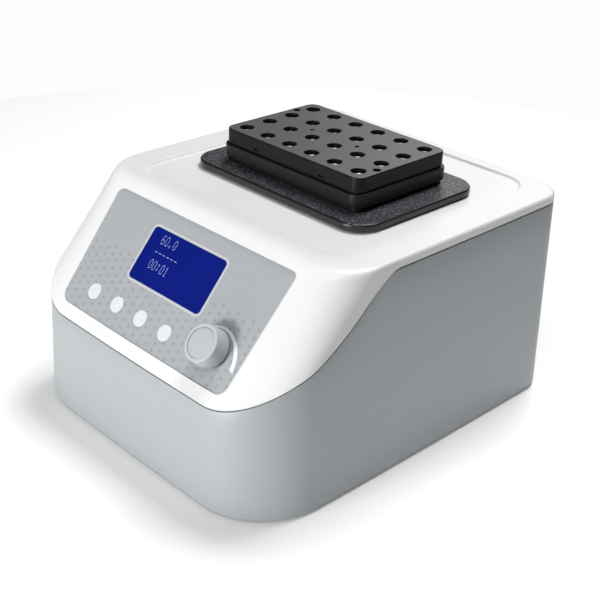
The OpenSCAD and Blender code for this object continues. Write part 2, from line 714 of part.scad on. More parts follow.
module counterweight() color([0.55, 0.5, 0.36]) at_drive() difference() {
    rod(weight_r, crank_low, crank_top);
    rod(crank_r, crank_low - over, crank_top + over);
    translate([-far, -4, crank_low - over]) cube([2 * far, far, crank_t + 2 * over]);
}
module guide_crank(side) color([0.6, 0.61, 0.63]) translate([side * guide_x, drive_y, 0]) {
    rod(journal_r, deck_z - 4, guide_disc_low);
    rod(8, guide_disc_low, guide_disc_top);
    translate([0, orbit_r, 0]) rod(guide_pin_r, guide_disc_top, table_top - 1);
}
module guide_crank_left() guide_crank(-1);
module guide_crank_right() guide_crank(1);
module orbit_table() color([0.74, 0.75, 0.77]) on_table() difference() {
    union() {
        translate([0, 0, table_top - table_t]) rounded_bar(2 * guide_x + 24, skirt_d + 22, table_t, 8);
        rod(bearing_r + 4, table_z, table_top);
        for (side = [-1, 1]) translate([side * guide_x, 0, 0]) rod(guide_bearing_r + 2.5, table_z, table_top);
    }
    rod(bearing_r, table_z - over, table_top + over);
    for (side = [-1, 1]) translate([side * guide_x, 0, 0]) rod(guide_bearing_r, table_z - over, table_top + over);
    for (p = tray_screws_at) translate(p - [0, block_y, 0]) rod(screw_r - 0.2, table_z, table_top + over);
}
module table_bearing() color([0.7, 0.7, 0.72]) at_crank_pin() difference() {
    rod(bearing_r, table_z, table_top);
    rod(crank_pin_r + run_fit, table_z - over, table_top + over);
}
module guide_bearings() color([0.7, 0.7, 0.72]) for (side = [-1, 1]) translate([side * guide_x, block_y, 0])
    difference() {
        rod(guide_bearing_r, table_z, table_top);
        rod(guide_pin_r + open_pivot_fit, table_z - over, table_top + over);
    }

// ---- Heated stage, which rides on the table ----
module on_table() { translate([0, block_y, 0]) children(); }
module tray() color([0.16, 0.16, 0.17]) on_table() {
    difference() {
        union() {
            translate([0, 0, tray_z]) rounded_bar(tray_w, tray_d, tray_t, tray_r);
            translate([0, 0, table_top]) rounded_bar(skirt_w, skirt_d, tray_z + 1 - table_top, 6);
            for (p = tray_screws_at) translate(p - [0, block_y, 0]) {
                rod(foot_tab_r, table_top, table_top + foot_tab_t);
                translate([-foot_tab_r, p.y > block_y ? -foot_tab_r - 2 : 0, table_top]) cube([2 * foot_tab_r, foot_tab_r + 2, foot_tab_t]);
            }
        }
        translate([0, 0, table_top - over]) rounded_bar(skirt_in_w, skirt_in_d, tray_z - table_top + over, 4);
        translate([0, 0, tray_z - over]) rounded_bar(neck_w + 1, neck_d + 1, tray_t + 2 * over, neck_r);
        for (p = tray_screws_at) translate(p - [0, block_y, 0]) rod(screw_r + fit, table_top - over, table_top + foot_tab_t + over);
    }
}
module tray_screws() color([0.6, 0.6, 0.62]) at_each(tray_screws_at)
    translate([0, 0, table_top + foot_tab_t + screw_head_h]) screw(screw_head_r, screw_head_h, screw_r - 0.25, foot_tab_t + 5);
module insulation_pad() color([0.85, 0.83, 0.75]) on_table()
    translate([0, 0, table_top]) rounded_bar(skirt_in_w - 2 * fit, skirt_in_d - 2 * fit, pad_t, 4);
module heater_film() color([0.7, 0.4, 0.12]) on_table()
    translate([0, 0, film_z]) rounded_bar(neck_w - 8, neck_d - 8, film_t, 3);
module heater_plate() color([0.78, 0.79, 0.8]) on_table() difference() {
    translate([0, 0, heater_z]) rounded_bar(skirt_in_w - 2 * fit, skirt_in_d - 2 * fit, heater_t, 4);
    at_each(fixings_at) rod(fixing_r, heater_z - over, block_z + over);
    translate([0, skirt_in_d / 2 + over, heater_z + heater_t / 2]) rotate([90, 0, 0]) cylinder(h = 24, r = 1.6);
}
module temperature_sensor() color([0.8, 0.8, 0.82]) on_table()
    translate([0, skirt_in_d / 2 - 1, heater_z + heater_t / 2]) rotate([90, 0, 0]) cylinder(h = 21, r = 1.5);

fixing_x = 47.6;
fixing_y = 17.3;
fixings_at = [[-fixing_x, fixing_y, 0], [fixing_x, -fixing_y, 0]];
probe_x = 17;
notch_x = 25;
module well() {
    straight = well_depth * 0.45;
    rod(well_r, block_top - straight, block_top + over);
    translate([0, 0, block_top - well_depth]) cylinder(h = well_depth - straight, r1 = well_r * 0.45, r2 = well_r);
}
module tube_block() color([0.2, 0.2, 0.21]) on_table() difference() {
    union() {
        translate([0, 0, block_z]) rounded_bar(neck_w, neck_d, head_z - block_z, neck_r);
        translate([0, 0, head_z]) rounded_bar(head_w, head_d, head_h, head_r);
    }
    for (i = [0:well_columns - 1], j = [0:well_rows - 1])
        translate([(i - (well_columns - 1) / 2) * well_pitch, (j - (well_rows - 1) / 2) * well_pitch, 0]) well();
    at_each(fixings_at) rod(fixing_r, block_z - over, block_top + over);
    for (x = [-probe_x, probe_x]) translate([x, 0, 0]) rod(probe_r, block_top - 20, block_top + over);
    for (x = [-notch_x, notch_x]) translate([x - 2.2, -head_d / 2 - over, head_z + 0.6]) cube([4.4, over + 1, 1.8]);
}
module block_collar() color([0.18, 0.18, 0.19]) on_table() difference() {
    translate([0, 0, collar_z]) rounded_bar(head_w + 2 * collar_step, head_d + 2 * collar_step, collar_h, head_r + collar_step);
    translate([0, 0, collar_z - over]) rounded_bar(neck_w + fit, neck_d + fit, collar_h + 2 * over, neck_r);
}
module block_screws() color([0.5, 0.5, 0.52]) on_table() at_each(fixings_at) difference() {
    rod(fixing_r - 0.15, heater_z + 1, block_top - 6);
    rod(1, block_top - 8, block_top, $fn = 6);
}

// ---- Power ----
supply_w = 70;
supply_d = 48;
supply_h = 26;
supply_tab = 3;
supply_y = back_y(base_top) - wall - 29 - supply_d / 2;
module power_supply() color([0.75, 0.76, 0.78]) translate([-case_w / 4, supply_y, base_top]) {
    translate([-supply_w / 2, -supply_d / 2, 0]) cube([supply_w, supply_d, supply_h]);
    for (x = [-supply_w / 2 - supply_tab, supply_w / 2]) translate([x, -supply_d / 6, 0])
        cube([supply_tab, supply_d / 3, base_t]);
}
module mains_inlet() color([0.1, 0.1, 0.11]) translate([inlet_x, seat_y, inlet_z]) difference() {
    union() {
        translate([-inlet_w / 2, 0, -inlet_h / 2]) cube([inlet_w, plate_t, inlet_h]);
        translate([-(inlet_w - 3) / 2, -inlet_body_l, -(inlet_h - 3) / 2]) cube([inlet_w - 3, inlet_body_l, inlet_h - 3]);
    }
    translate([-socket_w / 2, plate_t - socket_depth, -socket_h / 2]) cube([socket_w, socket_depth + over, socket_h]);
    for (c = contacts_at) translate([c.x - 1, -inlet_body_l - over, c.y - 2]) cube([2, inlet_body_l, 4]);
}
contacts_at = [[-7, 2], [7, 2], [0, -2]];
module inlet_contacts() color([0.8, 0.79, 0.75]) translate([inlet_x, seat_y, inlet_z]) {
    for (c = contacts_at) translate([c.x - 1, -inlet_body_l - 6, c.y - 2]) cube([2, inlet_body_l + 5, 4]);
}
module switch_frame() color([0.1, 0.1, 0.11]) translate([switch_x, seat_y, inlet_z]) difference() {
    union() {
        translate([-switch_w / 2, 0, -switch_h / 2]) cube([switch_w, plate_t, switch_h]);
        translate([-(switch_w - 2) / 2, -switch_body_l, -(switch_h - 2) / 2]) cube([switch_w - 2, switch_body_l, switch_h - 2]);
    }
    translate([-5, -6, -8]) cube([10, 6 + plate_t + over, 16]);
}
module power_rocker() color([0.14, 0.14, 0.15]) translate([switch_x, seat_y - 0.5, inlet_z])
    rotate([-rocker_swing / 2, 0, 0]) intersection() {
        translate([-4.7, -4, -rocker_half]) cube([9.4, 8, 2 * rocker_half]);
        rotate([0, 90, 0]) cylinder(h = 9.4, r = rocker_half, center = true);
        translate([-5, -8, -rocker_half]) cube([10, 10.6, 2 * rocker_half]);
    }

lower_housing();
top_cover();
base_plate();
rubber_feet();
base_screws();
cover_screws();
control_panel();
display_window();
display_module();
control_board();
board_screws();
key_switches();
key_1();
key_2();
key_3();
key_4();
encoder_body();
encoder_nut();
encoder_plunger();
encoder_spindle();
knob();
knob_cap();
deck();
deck_pillars();
motor();
motor_screws();
deck_bushings();
motor_shaft();
drive_crank();
counterweight();
crank_screw();
guide_crank_left();
guide_crank_right();
orbit_table();
table_bearing();
guide_bearings();
tray();
tray_screws();
insulation_pad();
heater_film();
heater_plate();
temperature_sensor();
tube_block();
block_collar();
block_screws();
power_supply();
mains_inlet();
inlet_contacts();
switch_frame();
power_rocker();
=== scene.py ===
"""Thermal mixer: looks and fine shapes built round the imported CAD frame.

Lengths are in mm until a point becomes a vertex. A point of the control slope is
(x, s, out): across the slope, up it from the panel's foot, and out of its plane.
"""
from math import cos, hypot, pi, radians as rad, sin, sqrt, tan

import bmesh
import bpy
from mathutils import Matrix, Vector


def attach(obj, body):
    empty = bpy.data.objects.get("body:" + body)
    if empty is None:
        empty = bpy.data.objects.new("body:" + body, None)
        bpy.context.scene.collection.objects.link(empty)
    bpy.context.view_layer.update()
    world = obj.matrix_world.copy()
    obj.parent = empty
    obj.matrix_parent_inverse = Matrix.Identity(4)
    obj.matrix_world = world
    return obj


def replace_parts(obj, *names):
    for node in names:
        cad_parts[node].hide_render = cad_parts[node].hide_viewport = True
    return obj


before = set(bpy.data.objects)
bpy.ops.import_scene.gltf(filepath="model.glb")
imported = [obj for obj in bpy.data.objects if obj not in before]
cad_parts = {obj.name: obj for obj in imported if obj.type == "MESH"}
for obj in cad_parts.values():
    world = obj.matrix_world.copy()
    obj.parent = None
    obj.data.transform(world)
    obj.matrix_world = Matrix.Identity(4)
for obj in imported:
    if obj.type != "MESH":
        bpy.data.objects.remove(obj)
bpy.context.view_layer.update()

MM = 0.001

# ---------------- sizes, as in part.scad
CASE_W, CASE_L, CASE_H, FOOT_H = 197.0, 232.0, 119.0, 2.0
CASE_TOP = FOOT_H + CASE_H
SIDE_DRAFT, FRONT_DRAFT, REAR_DRAFT = 1.2, 1.5, 0.9
WALL = 3.0
FRONT_R, NOSE_R, REAR_R = 39.0, 24.0, 18.0
FRONT_CROWN = SIDE_CROWN = 0.8
EDGE_R = 1.8
SLOPE, KNEE_H, BEND_R, BAND_H = 49.6, 58.5, 13.0, 4.6
PANEL_RISE, PANEL_SINK, PANEL_T = 9.2, 0.6, 0.8
KEY_R, KEY_PITCH, KEY_X, KEY_S, KEY_PROUD = 4.5, 19.8, -46.3, 10.9, 0.4
KNOB_R, KNOB_H, KNOB_X, KNOB_S, BUSHING_R = 10.2, 9.1, 46.8, 16.3, 4.0
BLOCK_Y, BLOCK_Z, BLOCK_TOP, ORBIT_R = 26.6, 103.0, CASE_TOP + 22.0, 1.5
HEAD_W, HEAD_D, HEAD_H, HEAD_R = 102.6, 68.4, 8.0, 5.5
COLLAR_H, COLLAR_STEP, NECK_INSET = 8.0, 1.4, 0.6
WELL_COLUMNS, WELL_ROWS, WELL_PITCH, WELL_R, WELL_DEPTH = 6, 4, 17.0, 4.0, 27.0
FIXING_R, FIXING_X, FIXING_Y, FIXING_DEPTH = 2.0, 47.6, 17.3, 39
PROBE_R, PROBE_X, PROBE_DEPTH = 1.1, 17.0, 20
NOTCH_X = 25.0
TABLE_TOP = 92.0
TRAY_W, TRAY_D, TRAY_R, TRAY_T = 132.6, 94.0, 14.5, 3.6
TRAY_TOP = BLOCK_TOP - 18.5
SKIRT_GAP, SKIRT_T = 1.5, 2.5
RECESS_DEPTH, RECESS_W, RECESS_R, RECESS_MARGIN = 1.3, 156.0, 17.0, 9.5
INLET_X, INLET_Z, INLET_W, INLET_H = 55.0, 34.0, 30.6, 22.6
SWITCH_X, SWITCH_W, SWITCH_H = 25.0, 15.0, 21.0
PAD_DEPTH = 1.6

# Sizes that follow the photo more closely than the solids do
SEAM_GAP = 0.75
DISPLAY_W, DISPLAY_L, DISPLAY_X, DISPLAY_S = 57.2, 30.0, -1.9, 41.7


# ---------------- camera
CAMERA_AT = Vector((411.4, -401.8, 351.94)) * MM
CAMERA_AZIMUTH, CAMERA_ELEVATION, CAMERA_ROLL = 45.31, 27.47, 2.17
FOCAL_PIXELS, PICTURE_PIXELS, SENSOR_MM = 1149.0, 600.0, 36.0


def make_camera():
    az, el, roll = rad(CAMERA_AZIMUTH), rad(CAMERA_ELEVATION), rad(CAMERA_ROLL)
    back = Vector((sin(az) * cos(el), -cos(az) * cos(el), sin(el)))
    level_right = Vector((cos(az), sin(az), 0))
    level_up = back.cross(level_right)
    right = level_right * cos(roll) + level_up * sin(roll)
    up = back.cross(right)
    data = bpy.data.cameras.new("camera")
    data.sensor_width = SENSOR_MM
    data.lens = FOCAL_PIXELS / PICTURE_PIXELS * SENSOR_MM
    data.clip_start = 0.01
    cam = bpy.data.objects.new("camera", data)
    bpy.context.scene.collection.objects.link(cam)
    cam.matrix_world = Matrix((
        (right.x, up.x, back.x, CAMERA_AT.x), (right.y, up.y, back.y, CAMERA_AT.y),
        (right.z, up.z, back.z, CAMERA_AT.z), (0, 0, 0, 1)))
    bpy.context.scene.camera = cam


make_camera()


# ---------------- materials
def material(name, color, roughness, metallic=0.0, coat=0.0, coat_roughness=0.1, specular=0.5):
    """A principled material whose constants sit on the shader's own sockets."""
    mat = bpy.data.materials.new(name)
    mat.use_nodes = True
    shader = mat.node_tree.nodes["Principled BSDF"]
    shader.inputs["Base Color"].default_value = (*color, 1.0)
    shader.inputs["Roughness"].default_value = roughness
    shader.inputs["Metallic"].default_value = metallic
    shader.inputs["Coat Weight"].default_value = coat
    shader.inputs["Coat Roughness"].default_value = coat_roughness
    shader.inputs["Specular IOR Level"].default_value = specular
    return mat


def tools(mat):
    return mat.node_tree.nodes, mat.node_tree.links, mat.node_tree.nodes["Principled BSDF"]


def glow(mat, color, strength):
    shader = tools(mat)[2]
    shader.inputs["Emission Color"].default_value = (*color, 1)
    shader.inputs["Emission Strength"].default_value = strength


def noise(mat, scale, detail=3.0):
    """Noise in object space, scale in features per metre."""
    nodes, links, _ = tools(mat)
    place = nodes.new("ShaderNodeTexCoord")
    tex = nodes.new("ShaderNodeTexNoise")
    tex.inputs["Scale"].default_value = scale
    tex.inputs["Detail"].default_value = detail
    links.new(place.outputs["Object"], tex.inputs["Vector"])
    return tex


def ramp(mat, source, stops):
    """Colour from a value: stops lists (value, colour)."""
    nodes, links, _ = tools(mat)
    node = nodes.new("ShaderNodeValToRGB")
    node.color_ramp.elements[0].position = stops[0][0]
    node.color_ramp.elements[0].color = (*stops[0][1], 1)
    node.color_ramp.elements[1].position = stops[-1][0]
    node.color_ramp.elements[1].color = (*stops[-1][1], 1)
    for at, color in stops[1:-1]:
        node.color_ramp.elements.new(at).color = (*color, 1)
    links.new(source, node.inputs["Fac"])
    return node.outputs["Color"]


def grain(mat, scale, strength, distance, detail=3.0):
    """Fine surface grain as a bump, its distance in metres."""
    nodes, links, shader = tools(mat)
    tex = noise(mat, scale, detail)
    bump = nodes.new("ShaderNodeBump")
    bump.inputs["Strength"].default_value = strength
    bump.inputs["Distance"].default_value = distance
    links.new(tex.outputs["Fac"], bump.inputs["Height"])
    links.new(bump.outputs["Normal"], shader.inputs["Normal"])


MOTTLE_LOW, MOTTLE_HIGH = 0.35, 0.65


def mottle(mat, scale, dark, light, detail=3.0):
    """Slight colour change over the surface."""
    _, links, shader = tools(mat)
    tex = noise(mat, scale, detail)
    color = ramp(mat, tex.outputs["Fac"], [(MOTTLE_LOW, dark), (MOTTLE_HIGH, light)])
    links.new(color, shader.inputs["Base Color"])


# Colour, roughness, (scale, dark, light, detail) of the colour change, and
# (scale, strength, distance, detail) of the grain, by the material's name
LOOKS = {
    "cover_white": (
        (0.74, 0.74, 0.74), 0.4, (30, (0.735, 0.735, 0.735), (0.745, 0.745, 0.745)),
        (2200, 0.05, 0.00005)),
    "housing_silver": (
        (0.385, 0.407, 0.421), 0.46, (2600, (0.372, 0.394, 0.408), (0.398, 0.42, 0.434), 1.0),
        (1800, 0.06, 0.00006)),
    "key_white": (
        (0.635, 0.665, 0.685), 0.4, (200, (0.625, 0.655, 0.675), (0.645, 0.675, 0.695)),
        (3000, 0.03, 0.00003)),
    "knob_silver": (
        (0.455, 0.475, 0.49), 0.5, (900, (0.445, 0.465, 0.48), (0.465, 0.485, 0.50)),
        (2600, 0.05, 0.00004)),
    "knob_face": (
        (0.42, 0.44, 0.455), 0.55, (1500, (0.405, 0.425, 0.44), (0.435, 0.455, 0.47), 4.0),
        (2200, 0.15, 0.00005, 4.0)),
    # Top of the block in a lighter copy of its black as painted sheen, and its sides in a darker
    # copy as painted shade
    "block_top_painted_sheen": (
        (0.08, 0.0785, 0.086), 0.42, (1400, (0.066, 0.065, 0.0715), (0.094, 0.092, 0.10), 4.0),
        (2400, 0.22, 0.00006, 4.0)),
    "block_sides_painted_shade": (
        (0.0075, 0.0079, 0.0093), 0.36,
        (1400, (0.006, 0.0064, 0.0074), (0.009, 0.0095, 0.011), 4.0), (2400, 0.12, 0.00005, 4.0)),
    # Step inside the wells, coloured bright as a painted highlight where the light glints on it
    "bevel_painted_glint": (
        (0.88, 0.88, 0.89), 0.42, (900, (0.86, 0.86, 0.87), (0.90, 0.90, 0.91)),
        (1500, 0.08, 0.00005)),
    "collar_black": (
        (0.0095, 0.0098, 0.011), 0.34, (900, (0.0085, 0.0088, 0.0098), (0.011, 0.0113, 0.0125)),
        (2000, 0.06, 0.00004)),
    "tray_edge": (
        (0.0095, 0.0098, 0.011), 0.26, (700, (0.0085, 0.0088, 0.0098), (0.011, 0.0113, 0.0125)),
        (1800, 0.06, 0.00004)),
}


def look(name, **sockets):
    color, roughness, spots, bumps = LOOKS[name]
    mat = material(name, color, roughness, **sockets)
    mottle(mat, *spots)
    grain(mat, *bumps)
    return mat


# Printed dots: half the distance of two columns, distance of two rows, highest row,
# radius, half width of a dot's soft edge, and how far the field runs past the highest row
DOT_X, DOT_S, DOT_TOP, DOT_R, DOT_SOFT, DOT_PAST = 5.433, 4.35, 34.8, 0.95, 0.4, 3.4


def panel_print():
    """Grey film with a staggered field of printed dots."""
    mat = material("panel_print", (0.345, 0.363, 0.379), 0.45, specular=0.35)
    nodes, links, shader = tools(mat)
    place = nodes.new("ShaderNodeTexCoord")
    turn = nodes.new("ShaderNodeMapping")
    turn.vector_type = "TEXTURE"
    turn.inputs["Location"].default_value = ON_SLOPE.translation * MM
    turn.inputs["Rotation"].default_value = (rad(SLOPE), 0, 0)
    links.new(place.outputs["Object"], turn.inputs["Vector"])
    split = nodes.new("ShaderNodeSeparateXYZ")
    links.new(turn.outputs["Vector"], split.inputs["Vector"])

    def calc(op, *values):
        node = nodes.new("ShaderNodeMath")
        node.operation = op
        for socket, value in zip(node.inputs, values):
            if isinstance(value, float):
                socket.default_value = value
            else:
                links.new(value, socket)
        return node.outputs[0]

    def lattice(dx, ds):
        """Distance in mm from the nearest dot of one square lattice."""
        x = calc("ADD", calc("MULTIPLY", split.outputs["X"], 1 / MM), dx)
        s = calc("ADD", calc("MULTIPLY", split.outputs["Y"], 1 / MM), ds)
        px, ps = calc("PINGPONG", x, DOT_X), calc("PINGPONG", s, DOT_S / 2)
        return calc("SQRT", calc("ADD", calc("MULTIPLY", px, px), calc("MULTIPLY", ps, ps)))

    near = calc("MINIMUM", lattice(0.0, -DOT_TOP), lattice(DOT_X, -DOT_TOP + DOT_S / 2))
    dot = nodes.new("ShaderNodeMapRange")
    dot.interpolation_type = "SMOOTHSTEP"
    dot.inputs["From Min"].default_value = DOT_R - DOT_SOFT
    dot.inputs["From Max"].default_value = DOT_R + DOT_SOFT
    dot.inputs["To Min"].default_value = 1.0
    dot.inputs["To Max"].default_value = 0.0
    links.new(near, dot.inputs["Value"])
    below = calc("LESS_THAN", split.outputs["Y"], (DOT_TOP + DOT_PAST) * MM)
    tex = noise(mat, 400, 2.0)
    base = ramp(mat, tex.outputs["Fac"],
                [(0.3, (0.338, 0.356, 0.372)), (0.7, (0.352, 0.37, 0.386))])
    mix = nodes.new("ShaderNodeMix")
    mix.data_type = "RGBA"
    factor, under, over = mix.inputs[0], mix.inputs[6], mix.inputs[7]
    over.default_value = (0.283, 0.298, 0.312, 1)
    links.new(base, under)
    links.new(calc("MULTIPLY", dot.outputs["Result"], below), factor)
    links.new(mix.outputs[2], shader.inputs["Base Color"])
    grain(mat, 3500, 0.04, 0.00004)
    return mat


def display_blue():
    mat = material("display_blue", (0.0034, 0.009, 0.14), 0.35, specular=0.01)
    mottle(mat, 60, (0.0031, 0.0085, 0.135), (0.0037, 0.0095, 0.145))
    glow(mat, (0.008, 0.02, 0.25), 0.12)
    return mat


def display_segments():
    mat = material("display_segments", (0.55, 0.63, 0.94), 0.5)
    mottle(mat, 900, (0.52, 0.60, 0.92), (0.58, 0.66, 0.96))
    return mat


def print_ink(name, tone):
    """Pale ink of the panel's print, slightly cool."""
    color = (tone, tone * 1.04, tone * 1.065)
    mat = material(name, color, 0.45)
    mottle(mat, 500, tuple(c * 0.985 for c in color), tuple(c * 1.015 for c in color))
    return mat


def tray_black():
    """Textured black paint with fine pale specks."""
    mat = material("tray_black", (0.02, 0.021, 0.024), 0.42)
    _, links, shader = tools(mat)
    tex = noise(mat, 1150, 1.0)
    color = ramp(mat, tex.outputs["Fac"], [
        (0.30, (0.005, 0.0055, 0.0075)), (0.50, (0.009, 0.010, 0.013)),
        (0.58, (0.045, 0.048, 0.056)), (0.66, (0.22, 0.23, 0.25))])
    links.new(color, shader.inputs["Base Color"])
    grain(mat, 1500, 0.55, 0.0002, detail=2.0)
    return mat


COLOR_SPREAD = 0.06


def plain(name, color, roughness, metallic=0.0, scale=600, bump=0.06):
    """General finish: slight colour change and fine grain."""
    mat = material(name, color, roughness, metallic)
    dark = tuple(c * (1 - COLOR_SPREAD) for c in color)
    light = tuple(min(1, c * (1 + COLOR_SPREAD)) for c in color)
    mottle(mat, scale, dark, light)
    grain(mat, scale * 2.5, bump, 0.00005)
    return mat


def brushed(name, color, roughness):
    """Machined metal: gloss that changes in streaks along one direction."""
    mat = material(name, color, roughness, 1.0)
    nodes, links, shader = tools(mat)
    place = nodes.new("ShaderNodeTexCoord")
    stretch = nodes.new("ShaderNodeMapping")
    stretch.inputs["Scale"].default_value = (1, 1, 12)
    tex = nodes.new("ShaderNodeTexNoise")
    tex.inputs["Scale"].default_value = 700
    links.new(place.outputs["Object"], stretch.inputs["Vector"])
    links.new(stretch.outputs["Vector"], tex.inputs["Vector"])
    span = nodes.new("ShaderNodeMapRange")
    span.inputs["To Min"].default_value = roughness - 0.08
    span.inputs["To Max"].default_value = roughness + 0.1
    links.new(tex.outputs["Fac"], span.inputs["Value"])
    links.new(span.outputs["Result"], shader.inputs["Roughness"])
    mottle(mat, 500, tuple(c * 0.94 for c in color), color)
    return mat


# ---------------- mesh helpers
LEVEL, LARGE_FACE = 0.9999, 20 * MM * MM


def add_object(name, mesh, mat, body, smooth_angle=35):
    """Object that rides a body. Faces square to an axis stay flat-shaded, because smooth
    shading would blotch the large ones that a cut has divided."""
    mesh.materials.append(mat)
    mesh.set_sharp_from_angle(angle=rad(smooth_angle))
    for face in mesh.polygons:
        x, y, z = (abs(c) for c in face.normal)
        face.use_smooth = not (z > LEVEL or max(x, y) > LEVEL and face.area > LARGE_FACE)
    obj = bpy.data.objects.new(name, mesh)
    bpy.context.scene.collection.objects.link(obj)
    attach(obj, body)
    return obj


def mesh_of(name, points, faces, place=None, merge=None):
    """Mesh from points in mm, moved by place (a matrix in mm) and put into metres."""
    mesh = bpy.data.meshes.new(name)
    place = place or Matrix.Identity(4)
    mesh.from_pydata([tuple((place @ Vector(p)) * MM) for p in points], [], faces)
    bm = bmesh.new()
    bm.from_mesh(mesh)
    if merge:
        bmesh.ops.remove_doubles(bm, verts=bm.verts, dist=merge * MM)
        bmesh.ops.dissolve_degenerate(bm, dist=merge * MM, edges=bm.edges)
    bmesh.ops.recalc_face_normals(bm, faces=bm.faces)
    bm.to_mesh(mesh)
    bm.free()
    return mesh


def band_faces(rows, count):
    """Quads between neighbouring rows of a closed ring."""
    faces = []
    for r in range(rows - 1):
        for k in range(count):
            n = (k + 1) % count
            faces.append((r * count + k, r * count + n, (r + 1) * count + n, (r + 1) * count + k))
    return faces


def capped_faces(rows, count):
    """Band with a flat cap on the first and the last row."""
    caps = [tuple(reversed(range(count))), tuple(range((rows - 1) * count, rows * count))]
    return band_faces(rows, count) + caps


def looped_mesh(name, rows, place=None, merge=None):
    """Mesh of a closed section swept round a ring: the last row joins the first."""
    count = len(rows[0])
    last = (len(rows) - 1) * count
    faces = band_faces(len(rows), count)
    faces += [(last + k, last + (k + 1) % count, (k + 1) % count, k) for k in range(count)]
    return mesh_of(name, [p for row in rows for p in row], faces, place, merge)


def arc_points(cx, cy, r, start, steps):
    """Quarter circle from the angle start, in degrees."""
    angles = [rad(start + 90 * k / steps) for k in range(steps + 1)]
    return [(cx + r * cos(a), cy + r * sin(a)) for a in angles]


def bar_outline(w, d, r, steps=8):
    """Rectangle with round corners."""
    points = []
    for sx, sy, start in ((1, 1, 0), (-1, 1, 90), (-1, -1, 180), (1, -1, 270)):
        points += arc_points(sx * (w / 2 - r), sy * (d / 2 - r), r, start, steps)
    return points


def round_profile(z0, z1, low, high, steps=4):
    """Levels of an upright bar with rounded lower and upper edges, as (z, inset)."""
    levels = []
    for k in range(steps + 1 if low else 1):
        a = rad(90 * k / steps)
        levels.append((z0 + low * (1 - cos(a)), low * (1 - sin(a))))
    for k in range(steps + 1 if high else 1):
        a = rad(90 * k / steps)
        levels.append((z1 - high * (1 - sin(a)), high * (1 - cos(a))))
    return levels


def soft_bar(name, w, d, r, z0, z1, high=0.0, place=None, steps=8):
    """Bar with round corners and a rounded upper edge, standing on z0."""
    points, levels = [], round_profile(z0, z1, 0.0, high)
    for z, inset in levels:
        corner = max(0.05, r - inset)
        outline = bar_outline(w - 2 * inset, d - 2 * inset, corner, steps)
        points += [(x, y, z) for x, y in outline]
    return mesh_of(name, points, capped_faces(len(levels), 4 * (steps + 1)), place)


def turned_points(profile, count):
    angles = [2 * pi * k / count for k in range(count)]
    return [[(r * cos(a), r * sin(a), z) for a in angles] for r, z in profile]


def lathe(name, profile, count=64, place=None, merge=None):
    """Turned piece: profile lists (radius, z) from the bottom centre to the top centre."""
    rows = turned_points([(max(r, 0.001), z) for r, z in profile], count)
    points = [p for row in rows for p in row]
    return mesh_of(name, points, capped_faces(len(rows), count), place, merge)


def cut(obj_mesh, cutter_meshes):
    """The first mesh less the others, as a new mesh."""
    base = bpy.data.objects.new("cut_base", obj_mesh)
    bpy.context.scene.collection.objects.link(base)
    joined = bmesh.new()
    for cutter in cutter_meshes:
        joined.from_mesh(cutter)
    tool_mesh = bpy.data.meshes.new("cut_tool")
    joined.to_mesh(tool_mesh)
    joined.free()
    tool = bpy.data.objects.new("cut_tool", tool_mesh)
    bpy.context.scene.collection.objects.link(tool)
    mod = base.modifiers.new("cut", "BOOLEAN")
    mod.operation = "DIFFERENCE"
    mod.solver = "EXACT"
    mod.use_self = False
    mod.object = tool
    shown = base.evaluated_get(bpy.context.evaluated_depsgraph_get())
    result = bpy.data.meshes.new_from_object(shown)
    result.materials.clear()
    bpy.data.objects.remove(base)
    bpy.data.objects.remove(tool)
    for mesh in [tool_mesh, *cutter_meshes]:
        bpy.data.meshes.remove(mesh)
    return result


# ---------------- the control slope
KNEE_Y = -CASE_L / 2 + (KNEE_H - FOOT_H) * tan(rad(FRONT_DRAFT))
SLOPE_C, SLOPE_S = cos(rad(SLOPE)), sin(rad(SLOPE))
PANEL_FOOT = (0, KNEE_Y + PANEL_RISE * SLOPE_C, KNEE_H + PANEL_RISE * SLOPE_S)
ON_SLOPE = Matrix.Translation(PANEL_FOOT) @ Matrix.Rotation(rad(SLOPE), 4, "X")
AT_DISPLAY = ON_SLOPE @ Matrix.Translation((DISPLAY_X, DISPLAY_S, 0))
AT_KNOB = ON_SLOPE @ Matrix.Translation((KNOB_X, KNOB_S, 0))
PANEL_FACE = -PANEL_SINK
PANEL_FLOOR = PANEL_FACE - PANEL_T


# ---------------- outline of the case
BEND_Z = CASE_TOP - BEND_R
SIDE_SPLIT = -20.0
KINK_BEFORE, KINK_PAST = 6.0, 1.0
FRONT_STEPS, CORNER_STEPS, CURVE_STEPS, KINK_STEPS, PAST_STEPS = 10, 20, 18, 10, 4
SIDE_STEPS, REAR_STEPS = 8, 12


def half_w(z):
    return CASE_W / 2 - (z - FOOT_H) * tan(rad(SIDE_DRAFT))


def front_y(z):
    return -CASE_L / 2 + (z - FOOT_H) * tan(rad(FRONT_DRAFT))


def back_y(z):
    return CASE_L / 2 - (z - FOOT_H) * tan(rad(REAR_DRAFT))


def slope_y(z):
    return KNEE_Y + (z - KNEE_H) / tan(rad(SLOPE))


BEND_Y = slope_y(CASE_TOP) + BEND_R * tan(rad(SLOPE / 2))


def nose_y(z, inset):
    """Front of the cover at height z: the wall, the slope, and the bend into the top."""
    r, up = BEND_R - inset, z - BEND_Z
    if up > r * SLOPE_C:
        return BEND_Y - sqrt(max(0.0, r * r - up * up))
    return max(front_y(z) + inset, slope_y(z) + inset / SLOPE_S)


def nose_radius(z):
    return FRONT_R + (NOSE_R - FRONT_R) * max(0.0, z - KNEE_H) / (CASE_TOP - KNEE_H)


def edge_inset(z):
    """How far the rounded top edge has drawn in at height z."""
    up = z - (CASE_TOP - EDGE_R)
    return EDGE_R - sqrt(max(0.0, EDGE_R ** 2 - up * up)) if up > 0 else 0.0


